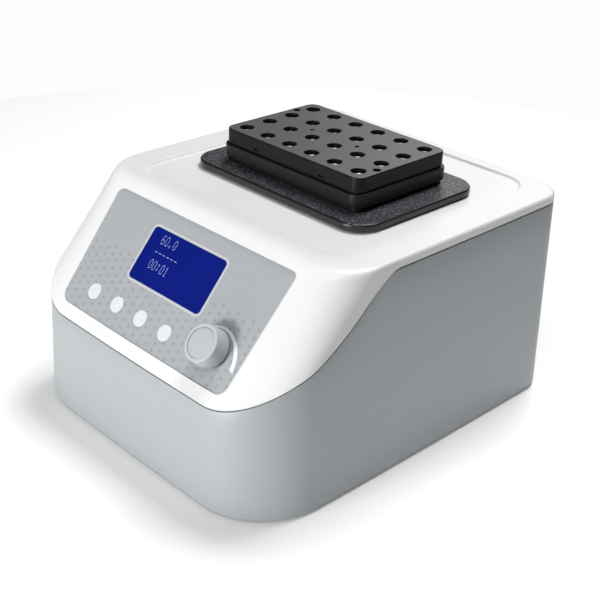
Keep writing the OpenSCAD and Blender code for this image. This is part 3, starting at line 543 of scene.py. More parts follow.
# The seam in side view, as in part.scad
SEAM_TOP = CASE_TOP - BAND_H
SEAM_START, SEAM_FLAT, SEAM_FRONT_R, SEAM_KINK_R = 37.8, 25.0, 162.0, 4.0
SEAM_STEPS, SEAM_KINK_STEPS = 30, 12
SEAM_REAR_END = 0.96  # share of the slope's angle at which the rear arc's points end


def seam_line():
    """Side view of the seam, as (y, z): an arc down, an arc up, and a kink into the level part."""
    def arc(radius, a):
        return Vector((radius * sin(rad(a)), -radius * cos(rad(a))))

    def steps(a, b, count):
        return [a + (b - a) * k / count for k in range(count + 1)]

    start = Vector((KNEE_Y, KNEE_H))
    line = [start + arc(SEAM_FRONT_R, SEAM_START) - arc(SEAM_FRONT_R, t)
            for t in steps(SEAM_START, SEAM_FLAT, SEAM_STEPS)]
    middle = line[-1]
    rear_r = (SEAM_TOP - middle.y) / (cos(rad(SEAM_FLAT)) - SLOPE_C)
    kink = middle + Vector((rear_r * (SLOPE_S - sin(rad(SEAM_FLAT))), SEAM_TOP - middle.y))
    tangent = SEAM_KINK_R * tan(rad(SLOPE / 2))
    kink_start = kink - tangent * Vector((SLOPE_C, SLOPE_S))
    line += [middle + arc(rear_r, t) - arc(rear_r, SEAM_FLAT)
             for t in steps(SEAM_FLAT, SLOPE * SEAM_REAR_END, SEAM_STEPS)]
    line += [kink_start + arc(SEAM_KINK_R, SLOPE) - arc(SEAM_KINK_R, t)
             for t in steps(SLOPE, 0, SEAM_KINK_STEPS)]
    return line


SEAM = seam_line()
KINK_Y = SEAM[-1].x


def seam_z(y):
    if y <= SEAM[0].x:
        return SEAM[0].y
    for a, b in zip(SEAM, SEAM[1:]):
        if y <= b.x:
            return a.y + (b.y - a.y) * (y - a.x) / (b.x - a.x)
    return SEAM_TOP


def stations():
    """Places round the right half of the case, from the front's middle to the rear's middle."""
    def marks(a, b, count):
        return [a + (b - a) * k / count for k in range(1, count + 1)]

    wall_end = -CASE_L / 2 + FRONT_R
    kink_from, kink_to = KINK_Y - KINK_BEFORE, KINK_Y + KINK_PAST
    curve = marks(wall_end, kink_from, CURVE_STEPS) + marks(kink_from, kink_to, KINK_STEPS)
    curve += marks(kink_to, SIDE_SPLIT, PAST_STEPS)
    found = [("front", k / FRONT_STEPS) for k in range(FRONT_STEPS)]
    found += [("corner", 90 * k / CORNER_STEPS) for k in range(CORNER_STEPS + 1)]
    found += [("curve", (y - wall_end) / (SIDE_SPLIT - wall_end)) for y in curve]
    found += [("side", k / SIDE_STEPS) for k in range(1, SIDE_STEPS)]
    found += [("rear_corner", 90 * k / REAR_STEPS) for k in range(REAR_STEPS + 1)]
    found += [("rear", k / FRONT_STEPS) for k in range(1, FRONT_STEPS + 1)]
    return found


def plan_point(kind, at, z, inset, cover):
    """Point of the outline at height z: the cover's lofted form, or the upright wall below."""
    draw = inset + (edge_inset(z) if cover else 0.0)
    hw, yb = half_w(z) - draw, back_y(z) - draw
    yf = nose_y(z, inset) if cover else front_y(z) + inset
    rf = (nose_radius(z) if cover else FRONT_R) - inset
    rb = REAR_R - inset / 2
    if kind == "front":
        x, y = (hw - rf) * at, yf
    elif kind == "corner":
        x, y = hw - rf + rf * sin(rad(at)), yf + rf - rf * cos(rad(at))
    elif kind == "curve":
        x, y = hw, yf + rf + (SIDE_SPLIT - yf - rf) * at
    elif kind == "side":
        x, y = hw, SIDE_SPLIT + (yb - rb - SIDE_SPLIT) * at
    elif kind == "rear_corner":
        x, y = hw - rb + rb * cos(rad(at)), yb - rb + rb * sin(rad(at))
    else:
        x, y = (hw - rb) * (1 - at), yb
    along = 2 * y / CASE_L
    mid, half = (yf + yb) / 2, (yb - yf) / 2
    v = (y - mid) / half
    if cover and v < 0:
        v = 0
    return x - SIDE_CROWN * x / hw * along * along, y - FRONT_CROWN * v * (x / hw) ** 2


SEAM_TRIES = 8


def seam_point(kind, at, rise, inset):
    """Point of the upright wall at the seam, raised by rise."""
    z = KNEE_H
    for _ in range(SEAM_TRIES):
        z = seam_z(plan_point(kind, at, z, 0, False)[1])
    x, y = plan_point(kind, at, z, inset, False)
    return x, y, z + rise


STATIONS = stations()


def case_row(maker):
    """Closed ring round the case, from the points of its right half."""
    half = [maker(kind, at) for kind, at in STATIONS]
    return half + [(-x, y, z) for x, y, z in reversed(half[1:-1])]


def level_row(z, inset, cover=True):
    return case_row(lambda kind, at: (*plan_point(kind, at, max(z, 0), inset, cover), z))


def seam_row(rise, inset):
    return case_row(lambda kind, at: seam_point(kind, at, rise, inset))


def between(row_a, row_b, t):
    return [tuple(a + (b - a) * t for a, b in zip(p, q)) for p, q in zip(row_a, row_b)]


def not_below(row, lower):
    """Row whose points stay at or above those of lower."""
    return [(x, y, max(z, f[2])) for (x, y, z), f in zip(row, lower)]


RULED_STEPS, BEND_STEPS, EDGE_STEPS = 10, 10, 6
LEAST_LEVEL_STEP = 0.012


def cover_levels(inset):
    """Heights of the rows from the start of the bend up to the flat top."""
    r, top = BEND_R - inset, CASE_TOP - inset
    levels = [BEND_Z + r * cos(rad(SLOPE * (1 - k / BEND_STEPS)))
              for k in range(BEND_STEPS + 1)]
    if inset == 0:
        levels += [top - EDGE_R + EDGE_R * sin(rad(90 * k / EDGE_STEPS))
                   for k in range(EDGE_STEPS)]
    levels = sorted(set(round(v, 4) for v in levels))
    return [v for a, v in enumerate(levels) if a == 0 or v - levels[a - 1] > LEAST_LEVEL_STEP]


def lofted_rows(rail, inset):
    """Rows of the cover: ruled from the rail up to the bend, then one for each level."""
    levels = cover_levels(inset)
    first = not_below(level_row(levels[0], inset), rail)
    rows = [between(rail, first, t / RULED_STEPS) for t in range(RULED_STEPS + 1)]
    return rows + [not_below(level_row(z, inset), rail) for z in levels[1:]]


SHELL_MERGE = 0.002
TONGUE_H, TONGUE_T, FIT = 4.0, 2, 0.2
EASE, EASE_MID = 0.4, 0.12            # eased edges along the seam
FOOT_EASE, FOOT_EASE_MID = 0.8, 0.25  # eased foot edge of the housing
WALL_STEPS, INSIDE_STEPS = 6, 4


def cover_shell():
    rows = list(reversed(lofted_rows(seam_row(0.0, WALL + TONGUE_T), WALL)))
    rows += [seam_row(-TONGUE_H, WALL + TONGUE_T), seam_row(-TONGUE_H, WALL + FIT),
             seam_row(0.0, WALL + FIT), seam_row(0.0, EASE), seam_row(EASE_MID, EASE_MID)]
    rows += lofted_rows(seam_row(EASE, 0.0), 0.0)
    points = [p for row in rows for p in row]
    return mesh_of("cover_form", points, capped_faces(len(rows), len(rows[0])), merge=SHELL_MERGE)


def housing_shell():
    top = -SEAM_GAP
    rows = [level_row(FOOT_H, WALL, False), level_row(FOOT_H, FOOT_EASE, False),
            level_row(FOOT_H + FOOT_EASE_MID, FOOT_EASE_MID, False),
            level_row(FOOT_H + FOOT_EASE, 0.0, False)]
    foot, rail = rows[-1], seam_row(top - EASE, 0.0)
    rows += [between(foot, rail, t / WALL_STEPS) for t in range(1, WALL_STEPS + 1)]
    rows += [seam_row(top - EASE_MID, EASE_MID), seam_row(top, EASE), seam_row(top, WALL)]
    rows += [between(rows[-1], rows[0], t / INSIDE_STEPS) for t in range(1, INSIDE_STEPS)]
    return looped_mesh("housing_form", rows, merge=SHELL_MERGE)


# ---------------- case pieces
# The panel's sheet: half widths, ends and corner radii at its top and its foot
SHEET_TOP_X, SHEET_TOP_S, SHEET_TOP_R = 69.4, 66.8, 3.4
SHEET_FOOT_X, SHEET_FOOT_S, SHEET_FOOT_R = 66.5, -1.2, 5.8


def panel_outline(grow):
    """Tapered outline of the control panel with round corners, grown outwards by grow."""
    steps = 8
    upper, lower = SHEET_TOP_R + grow, SHEET_FOOT_R + grow
    top, foot = SHEET_TOP_X - SHEET_TOP_R, SHEET_FOOT_X - SHEET_FOOT_R
    s1, s0 = SHEET_TOP_S - SHEET_TOP_R, SHEET_FOOT_S + SHEET_FOOT_R
    points = arc_points(top, s1, upper, 0, steps) + arc_points(-top, s1, upper, 90, steps)
    points += arc_points(-foot, s0, lower, 180, steps)
    points += [(u * foot, s0 - lower - FRONT_CROWN / 2 * (1 - u * u))
               for u in (k / steps - 1 for k in range(1, 2 * steps))]
    return points + arc_points(foot, s0, lower, 270, steps)


def panel_rows(profile):
    return [[(x, s, z) for x, s in panel_outline(grow)] for grow, z in profile]


def panel_prism(name, z0, z1, grow):
    low, high = panel_rows([(grow, z0), (grow, z1)])
    return mesh_of(name, low + high, capped_faces(2, len(low)), ON_SLOPE)


def slope_rod(name, x, s, r, z0, z1):
    profile = [(0, z0), (r, z0), (r, z1), (0, z1)]
    return lathe(name, profile, 48, ON_SLOPE @ Matrix.Translation((x, s, 0)), merge=0.005)


NECK_W, NECK_D = HEAD_W - 2 * NECK_INSET, HEAD_D - 2 * NECK_INSET
SKIRT_W = NECK_W + 2 * SKIRT_GAP + 2 * SKIRT_T
SKIRT_D = NECK_D + 2 * SKIRT_GAP + 2 * SKIRT_T
OPENING_AIR, OPENING_R, OPENING_Y = 5, 8, BLOCK_Y - ORBIT_R
OPENING_W, OPENING_D = (side + 2 * ORBIT_R + OPENING_AIR for side in (SKIRT_W, SKIRT_D))
RECESS_FRONT, RECESS_BACK = BEND_Y + 5, back_y(CASE_TOP) - RECESS_MARGIN
# Section of the recess's soft edge, as (height over the top, inset)
RECESS_EDGE = ((-RECESS_DEPTH, 1.1), (-1.22, 0.7), (-1.0, 0.35), (-0.6, 0.08), (-0.25, -0.15),
               (-0.05, -0.45), (0.02, -0.8), (6.0, -0.9))
# Section of the raised lip round the panel, as (distance from the sheet, height)
LIP = ((0.0, PANEL_FLOOR), (0.0, -0.25), (0.08, -0.05), (0.25, 0.1), (0.45, 0.16), (0.7, 0.1),
       (0.95, -0.02), (1.3, -0.5), (1.3, -1.6))
THROUGH = 9  # how far a tool runs past the face that it cuts
HOLE_GAP, SHEET_KEY_GAP, SHEET_GAP, LIP_GAP = 0.2, 0.12, 0.1, 0.15


def key_place(i):
    return KEY_X + i * KEY_PITCH, KEY_S


def slope_holes(window_gap, window_r, key_gap, depth):
    """Tools for the holes of display, keys and knob, from depth below the slope."""
    return [
        soft_bar("window_tool", DISPLAY_W + window_gap, DISPLAY_L + window_gap, window_r,
                 -depth, 3, place=AT_DISPLAY),
        *[slope_rod("key_tool", *key_place(i), KEY_R + key_gap, -depth, 3) for i in range(4)],
        slope_rod("knob_tool", KNOB_X, KNOB_S, BUSHING_R + HOLE_GAP, -depth, 3)]


def recess_cutter():
    """Shallow recess in the top with soft upper and lower edges."""
    steps = 16
    middle, depth = (RECESS_FRONT + RECESS_BACK) / 2, RECESS_BACK - RECESS_FRONT
    points = []
    for z, inset in RECESS_EDGE:
        outline = bar_outline(RECESS_W - 2 * inset, depth - 2 * inset, RECESS_R - inset, steps)
        points += [(x, y + middle, CASE_TOP + z) for x, y in outline]
    return mesh_of("recess_tool", points, capped_faces(len(RECESS_EDGE), 4 * (steps + 1)))


def make_cover(white):
    shape = cut(cover_shell(), [
        recess_cutter(),
        soft_bar("opening_tool", OPENING_W, OPENING_D, OPENING_R, CASE_TOP - THROUGH,
                 CASE_TOP + THROUGH, place=Matrix.Translation((0, OPENING_Y, 0)), steps=10),
        panel_prism("panel_tool", PANEL_FLOOR, THROUGH, LIP_GAP)])
    shape = cut(shape, slope_holes(2, 3, HOLE_GAP, 12))
    shape.name = "cover_skin"
    cover = add_object("cover_skin", shape, white, "case", 32)
    lip = looped_mesh("panel_lip", panel_rows(LIP), ON_SLOPE)
    add_object("panel_lip", lip, white, "case", 50)
    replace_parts(cover, "top_cover")


SEAT_Y = back_y(INLET_Z) - FRONT_CROWN - PAD_DEPTH
SEAT_SIDE, SEAT_H = 3, 30     # border of the seat beside the fittings, and its height
INLET_LAP, SWITCH_LAP = 3, 2  # how much smaller the holes are than the fittings
VENTS, VENT_X, VENT_PITCH, VENT_W, VENT_H = 9, -70, 7, 2.5, 28


def rear_tool(name, x, w, h, y0, y1):
    """Tool through the rear wall from y0 to y1, at the fittings' height."""
    place = Matrix.Translation((x, 0, INLET_Z)) @ Matrix.Rotation(rad(90), 4, "X")
    return soft_bar(name, w, h, min(1.5, w / 2 - 0.05), -y1, -y0, place=place, steps=4)


def make_housing(silver):
    low, high = SWITCH_X - SWITCH_W / 2 - SEAT_SIDE, INLET_X + INLET_W / 2 + SEAT_SIDE
    shape = cut(housing_shell(), [
        rear_tool("seat_tool", (low + high) / 2, high - low, SEAT_H, SEAT_Y, SEAT_Y + THROUGH)])
    seat = SEAT_Y - THROUGH, SEAT_Y + THROUGH
    wall = CASE_L / 2 - THROUGH, CASE_L / 2 + THROUGH
    shape = cut(shape, [
        rear_tool("inlet_tool", INLET_X, INLET_W - INLET_LAP, INLET_H - INLET_LAP, *seat),
        rear_tool("switch_tool", SWITCH_X, SWITCH_W - SWITCH_LAP, SWITCH_H - SWITCH_LAP, *seat),
        *[rear_tool("vent_tool", VENT_X + VENT_PITCH * k, VENT_W, VENT_H, *wall)
          for k in range(VENTS)]])
    shape.name = "housing_skin"
    housing = add_object("housing_skin", shape, silver, "case", 32)
    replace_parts(housing, "lower_housing")


make_cover(look("cover_white", coat=0.1, coat_roughness=0.25))
make_housing(look("housing_silver", metallic=0.2, specular=0.25))


# ---------------- control panel pieces
PRINT_T, PRINT_SUNK = 0.05, 0.02
FRAME_OUT, FRAME_IN, MARGIN_IN, FRAME_R = 1.3, 0.8, 0.05, 2.5
GLASS_R, GLASS_UNDER, GLASS_SINK, GLASS_EDGE = 2.4, 0.4, 0.12, 0.1
DIGITS = {
    "0": ("01110", "10001", "10001", "10001", "10001", "10001", "01110"),
    "1": ("00100", "01100", "00100", "00100", "00100", "00100", "01110"),
    "6": ("00110", "01000", "10000", "11110", "10001", "10001", "01110"),
    ".": ("00000", "00000", "00000", "00000", "00000", "01100", "01100"),
    ":": ("00000", "01100", "01100", "00000", "01100", "01100", "00000"),
    "-": ("00000", "00000", "00000", "11110", "00000", "00000", "00000"),
}
READOUT = (("60.0", -21.7, 54.2), ("------", -21.8, 47.0), ("00:01", -21.3, 40.3))
CELL_X, CELL_S, CELL_FILL, CHAR_PITCH, CELL_T = 0.47, 0.78, 0.52, 3.15, 0.03


def make_panel():
    sheet = panel_prism("panel_sheet", PANEL_FLOOR, PANEL_FACE, -SHEET_GAP)
    sheet = cut(sheet, slope_holes(HOLE_GAP, 2.6, SHEET_KEY_GAP, 3))
    sheet.name = "panel_sheet"
    obj = add_object("panel_sheet", sheet, panel_print(), "case", 40)
    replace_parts(obj, "control_panel")


def print_frame(name, grow_out, grow_in, mat):
    """Thin printed frame round the display, between two rounded outlines."""
    outer, inner = ([(x + DISPLAY_X, s + DISPLAY_S) for x, s in
                     bar_outline(DISPLAY_W + 2 * grow, DISPLAY_L + 2 * grow, FRAME_R + grow)]
                    for grow in (grow_out, grow_in))
    low, high = PANEL_FACE - PRINT_SUNK, PANEL_FACE + PRINT_T
    rows = [[(x, s, z) for x, s in outline] for outline, z in
            ((outer, low), (outer, high), (inner, high), (inner, low))]
    add_object(name, looped_mesh(name, rows, ON_SLOPE), mat, "case", 30)


def make_display(segments):
    window = soft_bar("display_glass", DISPLAY_W, DISPLAY_L, GLASS_R, PANEL_FLOOR - GLASS_UNDER,
                      PANEL_FACE - GLASS_SINK, high=GLASS_EDGE, place=AT_DISPLAY)
    glass = add_object("display_glass", window, display_blue(), "case", 30)
    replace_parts(glass, "display_window")
    print_frame("display_frame", FRAME_OUT, FRAME_IN, print_ink("frame_ink", 0.56))
    print_frame("display_margin", FRAME_IN, MARGIN_IN, print_ink("margin_ink", 0.43))
    make_digits(segments)


def lit_cells():
    """Upper left corners of the lit dots of the readout, as (x, s)."""
    for text, left, top in READOUT:
        for place, sign in enumerate(text):
            for row, cells in enumerate(DIGITS[sign]):
                for column, on in enumerate(cells):
                    if on == "1":
                        yield left + place * CHAR_PITCH + column * CELL_X, top - row * CELL_S


def make_digits(mat):
    """Plain numbers in dot characters, on the display."""
    points, faces = [], []
    base = PANEL_FACE - GLASS_SINK
    w, h = CELL_X * CELL_FILL, CELL_S * CELL_FILL
    for x, s in lit_cells():
        n = len(points)
        for z in (base - PRINT_SUNK, base + CELL_T):
            points.extend([(x, s, z), (x + w, s, z), (x + w, s - h, z), (x, s - h, z)])
        faces.extend([(n + 3, n + 2, n + 1, n), (n + 4, n + 5, n + 6, n + 7)])
        faces.extend([(n + k, n + (k + 1) % 4, n + 4 + (k + 1) % 4, n + 4 + k) for k in range(4)])
    mesh = mesh_of("display_digits", points, faces, ON_SLOPE)
    add_object("display_digits", mesh, mat, "case", 30)


KEY_FLANGE, KEY_FLANGE_Z0, KEY_FLANGE_Z1, KEY_EDGE, KEY_DOME = 1.4, -4.3, -3.3, 0.3, 0.05


def make_keys(mat):
    """Low domed keys with a soft rim, held by a flange under the panel."""
    top = PANEL_FACE + KEY_PROUD
    rim = top - KEY_EDGE - KEY_DOME
    profile = [(0, KEY_FLANGE_Z0), (KEY_R + KEY_FLANGE, KEY_FLANGE_Z0),
               (KEY_R + KEY_FLANGE, KEY_FLANGE_Z1), (KEY_R, KEY_FLANGE_Z1), (KEY_R, rim)]
    profile += [(KEY_R - KEY_EDGE * (1 - cos(rad(a))), rim + KEY_EDGE * sin(rad(a)))
                for a in (22, 45, 68, 90)]
    profile += [(KEY_R * 0.6, top - 0.01), (0, top)]
    for i in range(4):
        name, place = f"key_cap_{i + 1}", Matrix.Translation((*key_place(i), 0))
        mesh = lathe(name, profile, 64, ON_SLOPE @ place)
        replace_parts(add_object(name, mesh, mat, f"key_{i + 1}", 40), f"key_{i + 1}")


KNOB_GAP, KNOB_TAPER, KNOB_SIDES = 1.5, 0.45, 96
RIM_W, CUP_DEPTH, BORE_R, BOSS_W = 1.75, 1.4, 3.05, 0.6


def make_knob(side, face):
    """Turned knob: a raised rim round a finely grained face, over a dark gap."""
    low = PANEL_FACE + KNOB_GAP
    high = low + KNOB_H
    top = KNOB_R - KNOB_TAPER
    inner = top - RIM_W
    profile = [
        (BORE_R, low + 0.2), (BUSHING_R + BOSS_W, low + 0.2), (BUSHING_R + BOSS_W, low),
        (KNOB_R - 0.5, low), (KNOB_R - 0.15, low + 0.08), (KNOB_R, low + 0.3),
        (top, high - 0.6), (top - 0.1, high - 0.3), (top - 0.3, high - 0.1), (top - 0.6, high),
        (inner + 0.4, high), (inner + 0.12, high - 0.1), (inner, high - 0.35),
        (inner, high - CUP_DEPTH), (BORE_R, high - CUP_DEPTH)]
    mesh = looped_mesh("knob_shell", turned_points(profile, KNOB_SIDES), AT_KNOB)
    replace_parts(add_object("knob_shell", mesh, side, "knob", 40), "knob")
    r = inner - 0.12
    profile = [(0, high - CUP_DEPTH), (r, high - CUP_DEPTH), (r, high - 0.62),
               (r - 0.12, high - 0.48), (r - 0.35, high - 0.44), (r * 0.5, high - 0.4),
               (0, high - 0.39)]
    mesh = lathe("knob_disc", profile, KNOB_SIDES, AT_KNOB)
    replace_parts(add_object("knob_disc", mesh, face, "knob", 40), "knob_cap")


# The printed stroke: angles of its ends, angle where it starts to leave the knob, radius
# there, how far it is off that radius at and before the end, and its width and growth
ARC_START, ARC_END, ARC_TURN, ARC_R, ARC_STEPS = 128.0, -17.0, 75.0, 11.35, 48
ARC_LEAVE, ARC_BEFORE, ARC_W, ARC_GROWTH, ARC_POWER = 5.4, 1.6, 1.3, 1.35, 0.9


def make_arc(mat):
    """Printed stroke that widens clockwise round the knob."""
    outer, inner = [], []
    for k in range(ARC_STEPS + 1):
        turn = ARC_START + (ARC_END - ARC_START) * k / ARC_STEPS
        past = (ARC_TURN - turn) / (ARC_TURN - ARC_END)
        middle = ARC_R + (ARC_LEAVE if past > 0 else ARC_BEFORE) * past ** 2
        width = ARC_W + ARC_GROWTH * max(0.0, past) ** ARC_POWER
        for side, sign in ((outer, 0.5), (inner, -0.5)):
            r = middle + sign * width
            side.append((KNOB_X + r * cos(rad(turn)), KNOB_S + r * sin(rad(turn))))
    points = outer + list(reversed(inner))
    count = len(points)
    rows = [(x, s, z) for z in (PANEL_FACE - PRINT_SUNK, PANEL_FACE + PRINT_T) for x, s in points]
    faces = []
    for k in range(count // 2 - 1):
        a, b, c, d = k, k + 1, count - 2 - k, count - 1 - k
        faces.append((a, d, c, b))
        faces.append((count + a, count + b, count + c, count + d))
    faces += band_faces(2, count)
    mesh = mesh_of("panel_stroke", rows, faces, ON_SLOPE)
    add_object("panel_stroke", mesh, mat, "case", 30)


make_panel()
make_display(display_segments())
make_keys(look("key_white", coat=0.1))
make_knob(look("knob_silver"), look("knob_face"))
make_arc(print_ink("stroke_ink", 0.72))


# ---------------- heated block and tray
ON_STAGE = Matrix.Translation((0, BLOCK_Y, 0))
HEAD_Z = BLOCK_TOP - HEAD_H
HEAD_EDGE, FOOT_CHAMFER, HEAD_CHAMFER = 0.7, 0.3, 0.25
WELL_RIM, BEVEL_Z, BEVEL_H, BEVEL_W, SLACK = 0.3, 2.7, 0.6, 0.5, 0.05
WELL_STRAIGHT, WELL_TIP = 0.45, 0.45  # shares of the depth and of the bore's radius
PIN_RIM, PROBE_RIM = 0.3, 0.25
NOTCH_W, NOTCH_D, NOTCH_Z0, NOTCH_Z1 = 4.2, 4.0, 0.9, 2.3
COLLAR_GAP, COLLAR_LOW, COLLAR_HIGH = 0.8, 0.9, 0.45
HOLE_R = HEAD_R - 0.5
TRAY_LOW, TRAY_HIGH, TRAY_EDGE_W = 0.35, 1.1, 1.2


def rounding(r):
    """Rounded edge, as (how far down, how far in)."""
    return [(r * (1 - sin(rad(a))), r * (1 - cos(rad(a)))) for a in (0, 22.5, 45, 67.5, 90)]


def hole_tool(name, x, y, profile, sides):
    return lathe(name, profile, sides, ON_STAGE @ Matrix.Translation((x, y, 0)), merge=0.005)


def well_tool(column, row):
    """Well with a small rounded mouth and a bevelled step below it."""
    top, bore = BLOCK_TOP, WELL_R - BEVEL_W
    profile = [(0, top - WELL_DEPTH), (bore * WELL_TIP, top - WELL_DEPTH),
               (bore, top - WELL_DEPTH * WELL_STRAIGHT), (bore, top - BEVEL_Z - BEVEL_H),
               (WELL_R, top - BEVEL_Z)]
    profile += [(WELL_R + out, top - down) for down, out in rounding(WELL_RIM)]
    profile += [(WELL_R + WELL_RIM, top + 2), (0, top + 2)]
    x, y = (column - (WELL_COLUMNS - 1) / 2) * WELL_PITCH, (row - (WELL_ROWS - 1) / 2) * WELL_PITCH
    return hole_tool("well_tool", x, y, profile, 48)


def pin_tool(x, y, r, depth, rim):
    """Straight hole with a chamfered mouth."""
    top = BLOCK_TOP
    profile = [(0, top - depth), (r, top - depth), (r, top - rim), (r + rim, top),
               (r + rim, top + 2), (0, top + 2)]
    return hole_tool("pin_tool", x, y, profile, 32)


def on_bevel(place):
    """Whether a point of the block lies on the bevelled step of a well."""
    x, y, down = place.x / MM, place.y / MM - BLOCK_Y, BLOCK_TOP - place.z / MM
    dx, dy = (x / WELL_PITCH) % 1 - 0.5, (y / WELL_PITCH) % 1 - 0.5
    reach = WELL_R + 2 * SLACK
    return (abs(x) < (WELL_COLUMNS - 1) / 2 * WELL_PITCH + reach
            and abs(y) < (WELL_ROWS - 1) / 2 * WELL_PITCH + reach
            and BEVEL_Z + SLACK < down < BEVEL_Z + BEVEL_H - SLACK
            and hypot(dx, dy) * WELL_PITCH < WELL_R + SLACK)


def make_block(top, glint_paint, flank_painted_shade):
    """Block with wells, fixing and probe holes, and two notches in the front of its head."""
    profile = [(BLOCK_Z, NECK_INSET + FOOT_CHAMFER), (BLOCK_Z + FOOT_CHAMFER, NECK_INSET),
               (HEAD_Z - 0.01, NECK_INSET), (HEAD_Z, NECK_INSET), (HEAD_Z, HEAD_CHAMFER),
               (HEAD_Z + HEAD_CHAMFER, 0.0)]
    profile += [(BLOCK_TOP - down, inset) for down, inset in rounding(HEAD_EDGE)]
    points, steps = [], 12
    for z, inset in profile:
        outline = bar_outline(HEAD_W - 2 * inset, HEAD_D - 2 * inset, HEAD_R - inset, steps)
        points += [(x, y, z) for x, y in outline]
    faces = capped_faces(len(profile), 4 * (steps + 1))
    shape = cut(mesh_of("block_form", points, faces, ON_STAGE), [
        *[well_tool(i, j) for i in range(WELL_COLUMNS) for j in range(WELL_ROWS)],
        pin_tool(-FIXING_X, FIXING_Y, FIXING_R, FIXING_DEPTH, PIN_RIM),
        pin_tool(FIXING_X, -FIXING_Y, FIXING_R, FIXING_DEPTH, PIN_RIM),
        pin_tool(-PROBE_X, 0, PROBE_R, PROBE_DEPTH, PROBE_RIM),
        pin_tool(PROBE_X, 0, PROBE_R, PROBE_DEPTH, PROBE_RIM),
        *[soft_bar("notch_tool", NOTCH_W, NOTCH_D, 0.4, HEAD_Z + NOTCH_Z0, HEAD_Z + NOTCH_Z1,
                   place=ON_STAGE @ Matrix.Translation((x, -HEAD_D / 2, 0)), steps=3)
          for x in (-NOTCH_X, NOTCH_X)]])
    shape.name = "block_body"
    block = add_object("block_body", shape, top, "stage", 32)
    block.data.materials.append(glint_paint)
    block.data.materials.append(flank_painted_shade)
    for face in block.data.polygons:
        # Faces of the wells' bevelled step take the bright painted-highlight colour
        if on_bevel(face.center):
            face.material_index = 1
        # Faces that are not level, the walls of the wells too, take the darker copy as painted
        # shade
        elif abs(face.normal.z) < 0.9:
            face.material_index = 2
    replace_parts(block, "tube_block")


def hollow_bar(name, levels, outer, hole, steps=12):
    """Bar with a through hole: levels lists (z, inset) from the lowest outer row to the
    highest, and outer and hole give width, depth and corner radius."""
    w, d, r = outer
    rows = [[(x, y, z) for x, y in bar_outline(w - 2 * i, d - 2 * i, r - i, steps)]
            for z, i in levels]
    rows += [[(x, y, z) for x, y in bar_outline(*hole, steps)]
             for z in (levels[-1][0], levels[0][0])]
    return looped_mesh(name, rows, ON_STAGE)


def make_collar(mat):
    outer = HEAD_W + 2 * COLLAR_STEP, HEAD_D + 2 * COLLAR_STEP, HEAD_R + COLLAR_STEP
    levels = round_profile(HEAD_Z - COLLAR_H, HEAD_Z - COLLAR_GAP, COLLAR_LOW, COLLAR_HIGH)
    mesh = hollow_bar("block_skirt", levels, outer, (NECK_W + 0.2, NECK_D + 0.2, HOLE_R))
    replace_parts(add_object("block_skirt", mesh, mat, "stage", 35), "block_collar")


def make_tray(top_mat, edge_mat):
    """Flange with a rolled edge, and the skirt that runs down to the table."""
    z0 = TRAY_TOP - TRAY_T
    levels = round_profile(z0, TRAY_TOP, TRAY_LOW, TRAY_HIGH, 6)
    mesh = hollow_bar("tray_plate", levels, (TRAY_W, TRAY_D, TRAY_R),
                      (NECK_W + 1, NECK_D + 1, HOLE_R), 16)
    plate = add_object("tray_plate", mesh, edge_mat, "stage", 35)
    plate.data.materials.append(top_mat)
    for face in plate.data.polygons:
        x, y = abs(face.center.x), abs(face.center.y - BLOCK_Y * MM)
        inside = (x < (TRAY_W / 2 - TRAY_EDGE_W) * MM and y < (TRAY_D / 2 - TRAY_EDGE_W) * MM)
        if inside and face.normal.z > 0.9 and face.center.z > (TRAY_TOP - 0.3) * MM:
            face.material_index = 1
    hole = SKIRT_W - 2 * SKIRT_T, SKIRT_D - 2 * SKIRT_T, 4
    levels = round_profile(TABLE_TOP, z0 + 0.5, 0.3, 0.0, 2)
    under = hollow_bar("tray_skirt", levels, (SKIRT_W, SKIRT_D, 6), hole)
    add_object("tray_skirt", under, edge_mat, "stage", 35)
    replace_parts(plate, "tray")


# The block's top takes a lighter copy of its black as painted sheen, its sides a darker copy as
# painted shade
make_block(look("block_top_painted_sheen", specular=0.4), look("bevel_painted_glint", metallic=0.75),
           look("block_sides_painted_shade", specular=0.16))
make_collar(look("collar_black", specular=0.25))
make_tray(tray_black(), look("tray_edge", specular=0.5))


# ---------------- CAD nodes that stay
def finish_nodes():
    finishes = (
        (brushed("machined_steel", (0.62, 0.62, 0.64), 0.32),
         "base_screws cover_screws board_screws encoder_nut encoder_spindle deck_pillars "
         "motor_screws motor_shaft crank_screw guide_crank_left guide_crank_right "
         "table_bearing guide_bearings tray_screws temperature_sensor block_screws"),
        (plain("plated_sheet", (0.55, 0.57, 0.58), 0.45, 0.7), "base_plate deck power_supply"),
        (plain("black_moulding", (0.02, 0.02, 0.021), 0.45, scale=900, bump=0.15),
         "display_module key_switches encoder_body mains_inlet switch_frame"),
        (plain("foot_rubber", (0.02, 0.02, 0.02), 0.8, scale=700, bump=0.3), "rubber_feet"),
        (brushed("milled_aluminium", (0.68, 0.69, 0.70), 0.36),
         "drive_crank orbit_table heater_plate"),
        (brushed("bearing_bronze", (0.55, 0.40, 0.20), 0.35), "deck_bushings counterweight"),
        (plain("board_green", (0.02, 0.10, 0.04), 0.4), "control_board"),
        (look("key_white", coat=0.1), "encoder_plunger"),
        (plain("motor_paint", (0.03, 0.03, 0.033), 0.5, scale=900, bump=0.2), "motor"),
        (plain("foam_pad", (0.62, 0.58, 0.47), 0.9, scale=500, bump=0.5), "insulation_pad"),
        (plain("heater_film", (0.35, 0.14, 0.02), 0.4), "heater_film"),
        (brushed("plated_contacts", (0.72, 0.68, 0.55), 0.3), "inlet_contacts"),
        (plain("rocker_black", (0.018, 0.018, 0.019), 0.28, bump=0.05), "power_rocker"),
    )
    for mat, names in finishes:
        for name in names.split():
            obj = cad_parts[name]
            obj.data.materials.clear()
            obj.data.materials.append(mat)


finish_nodes()


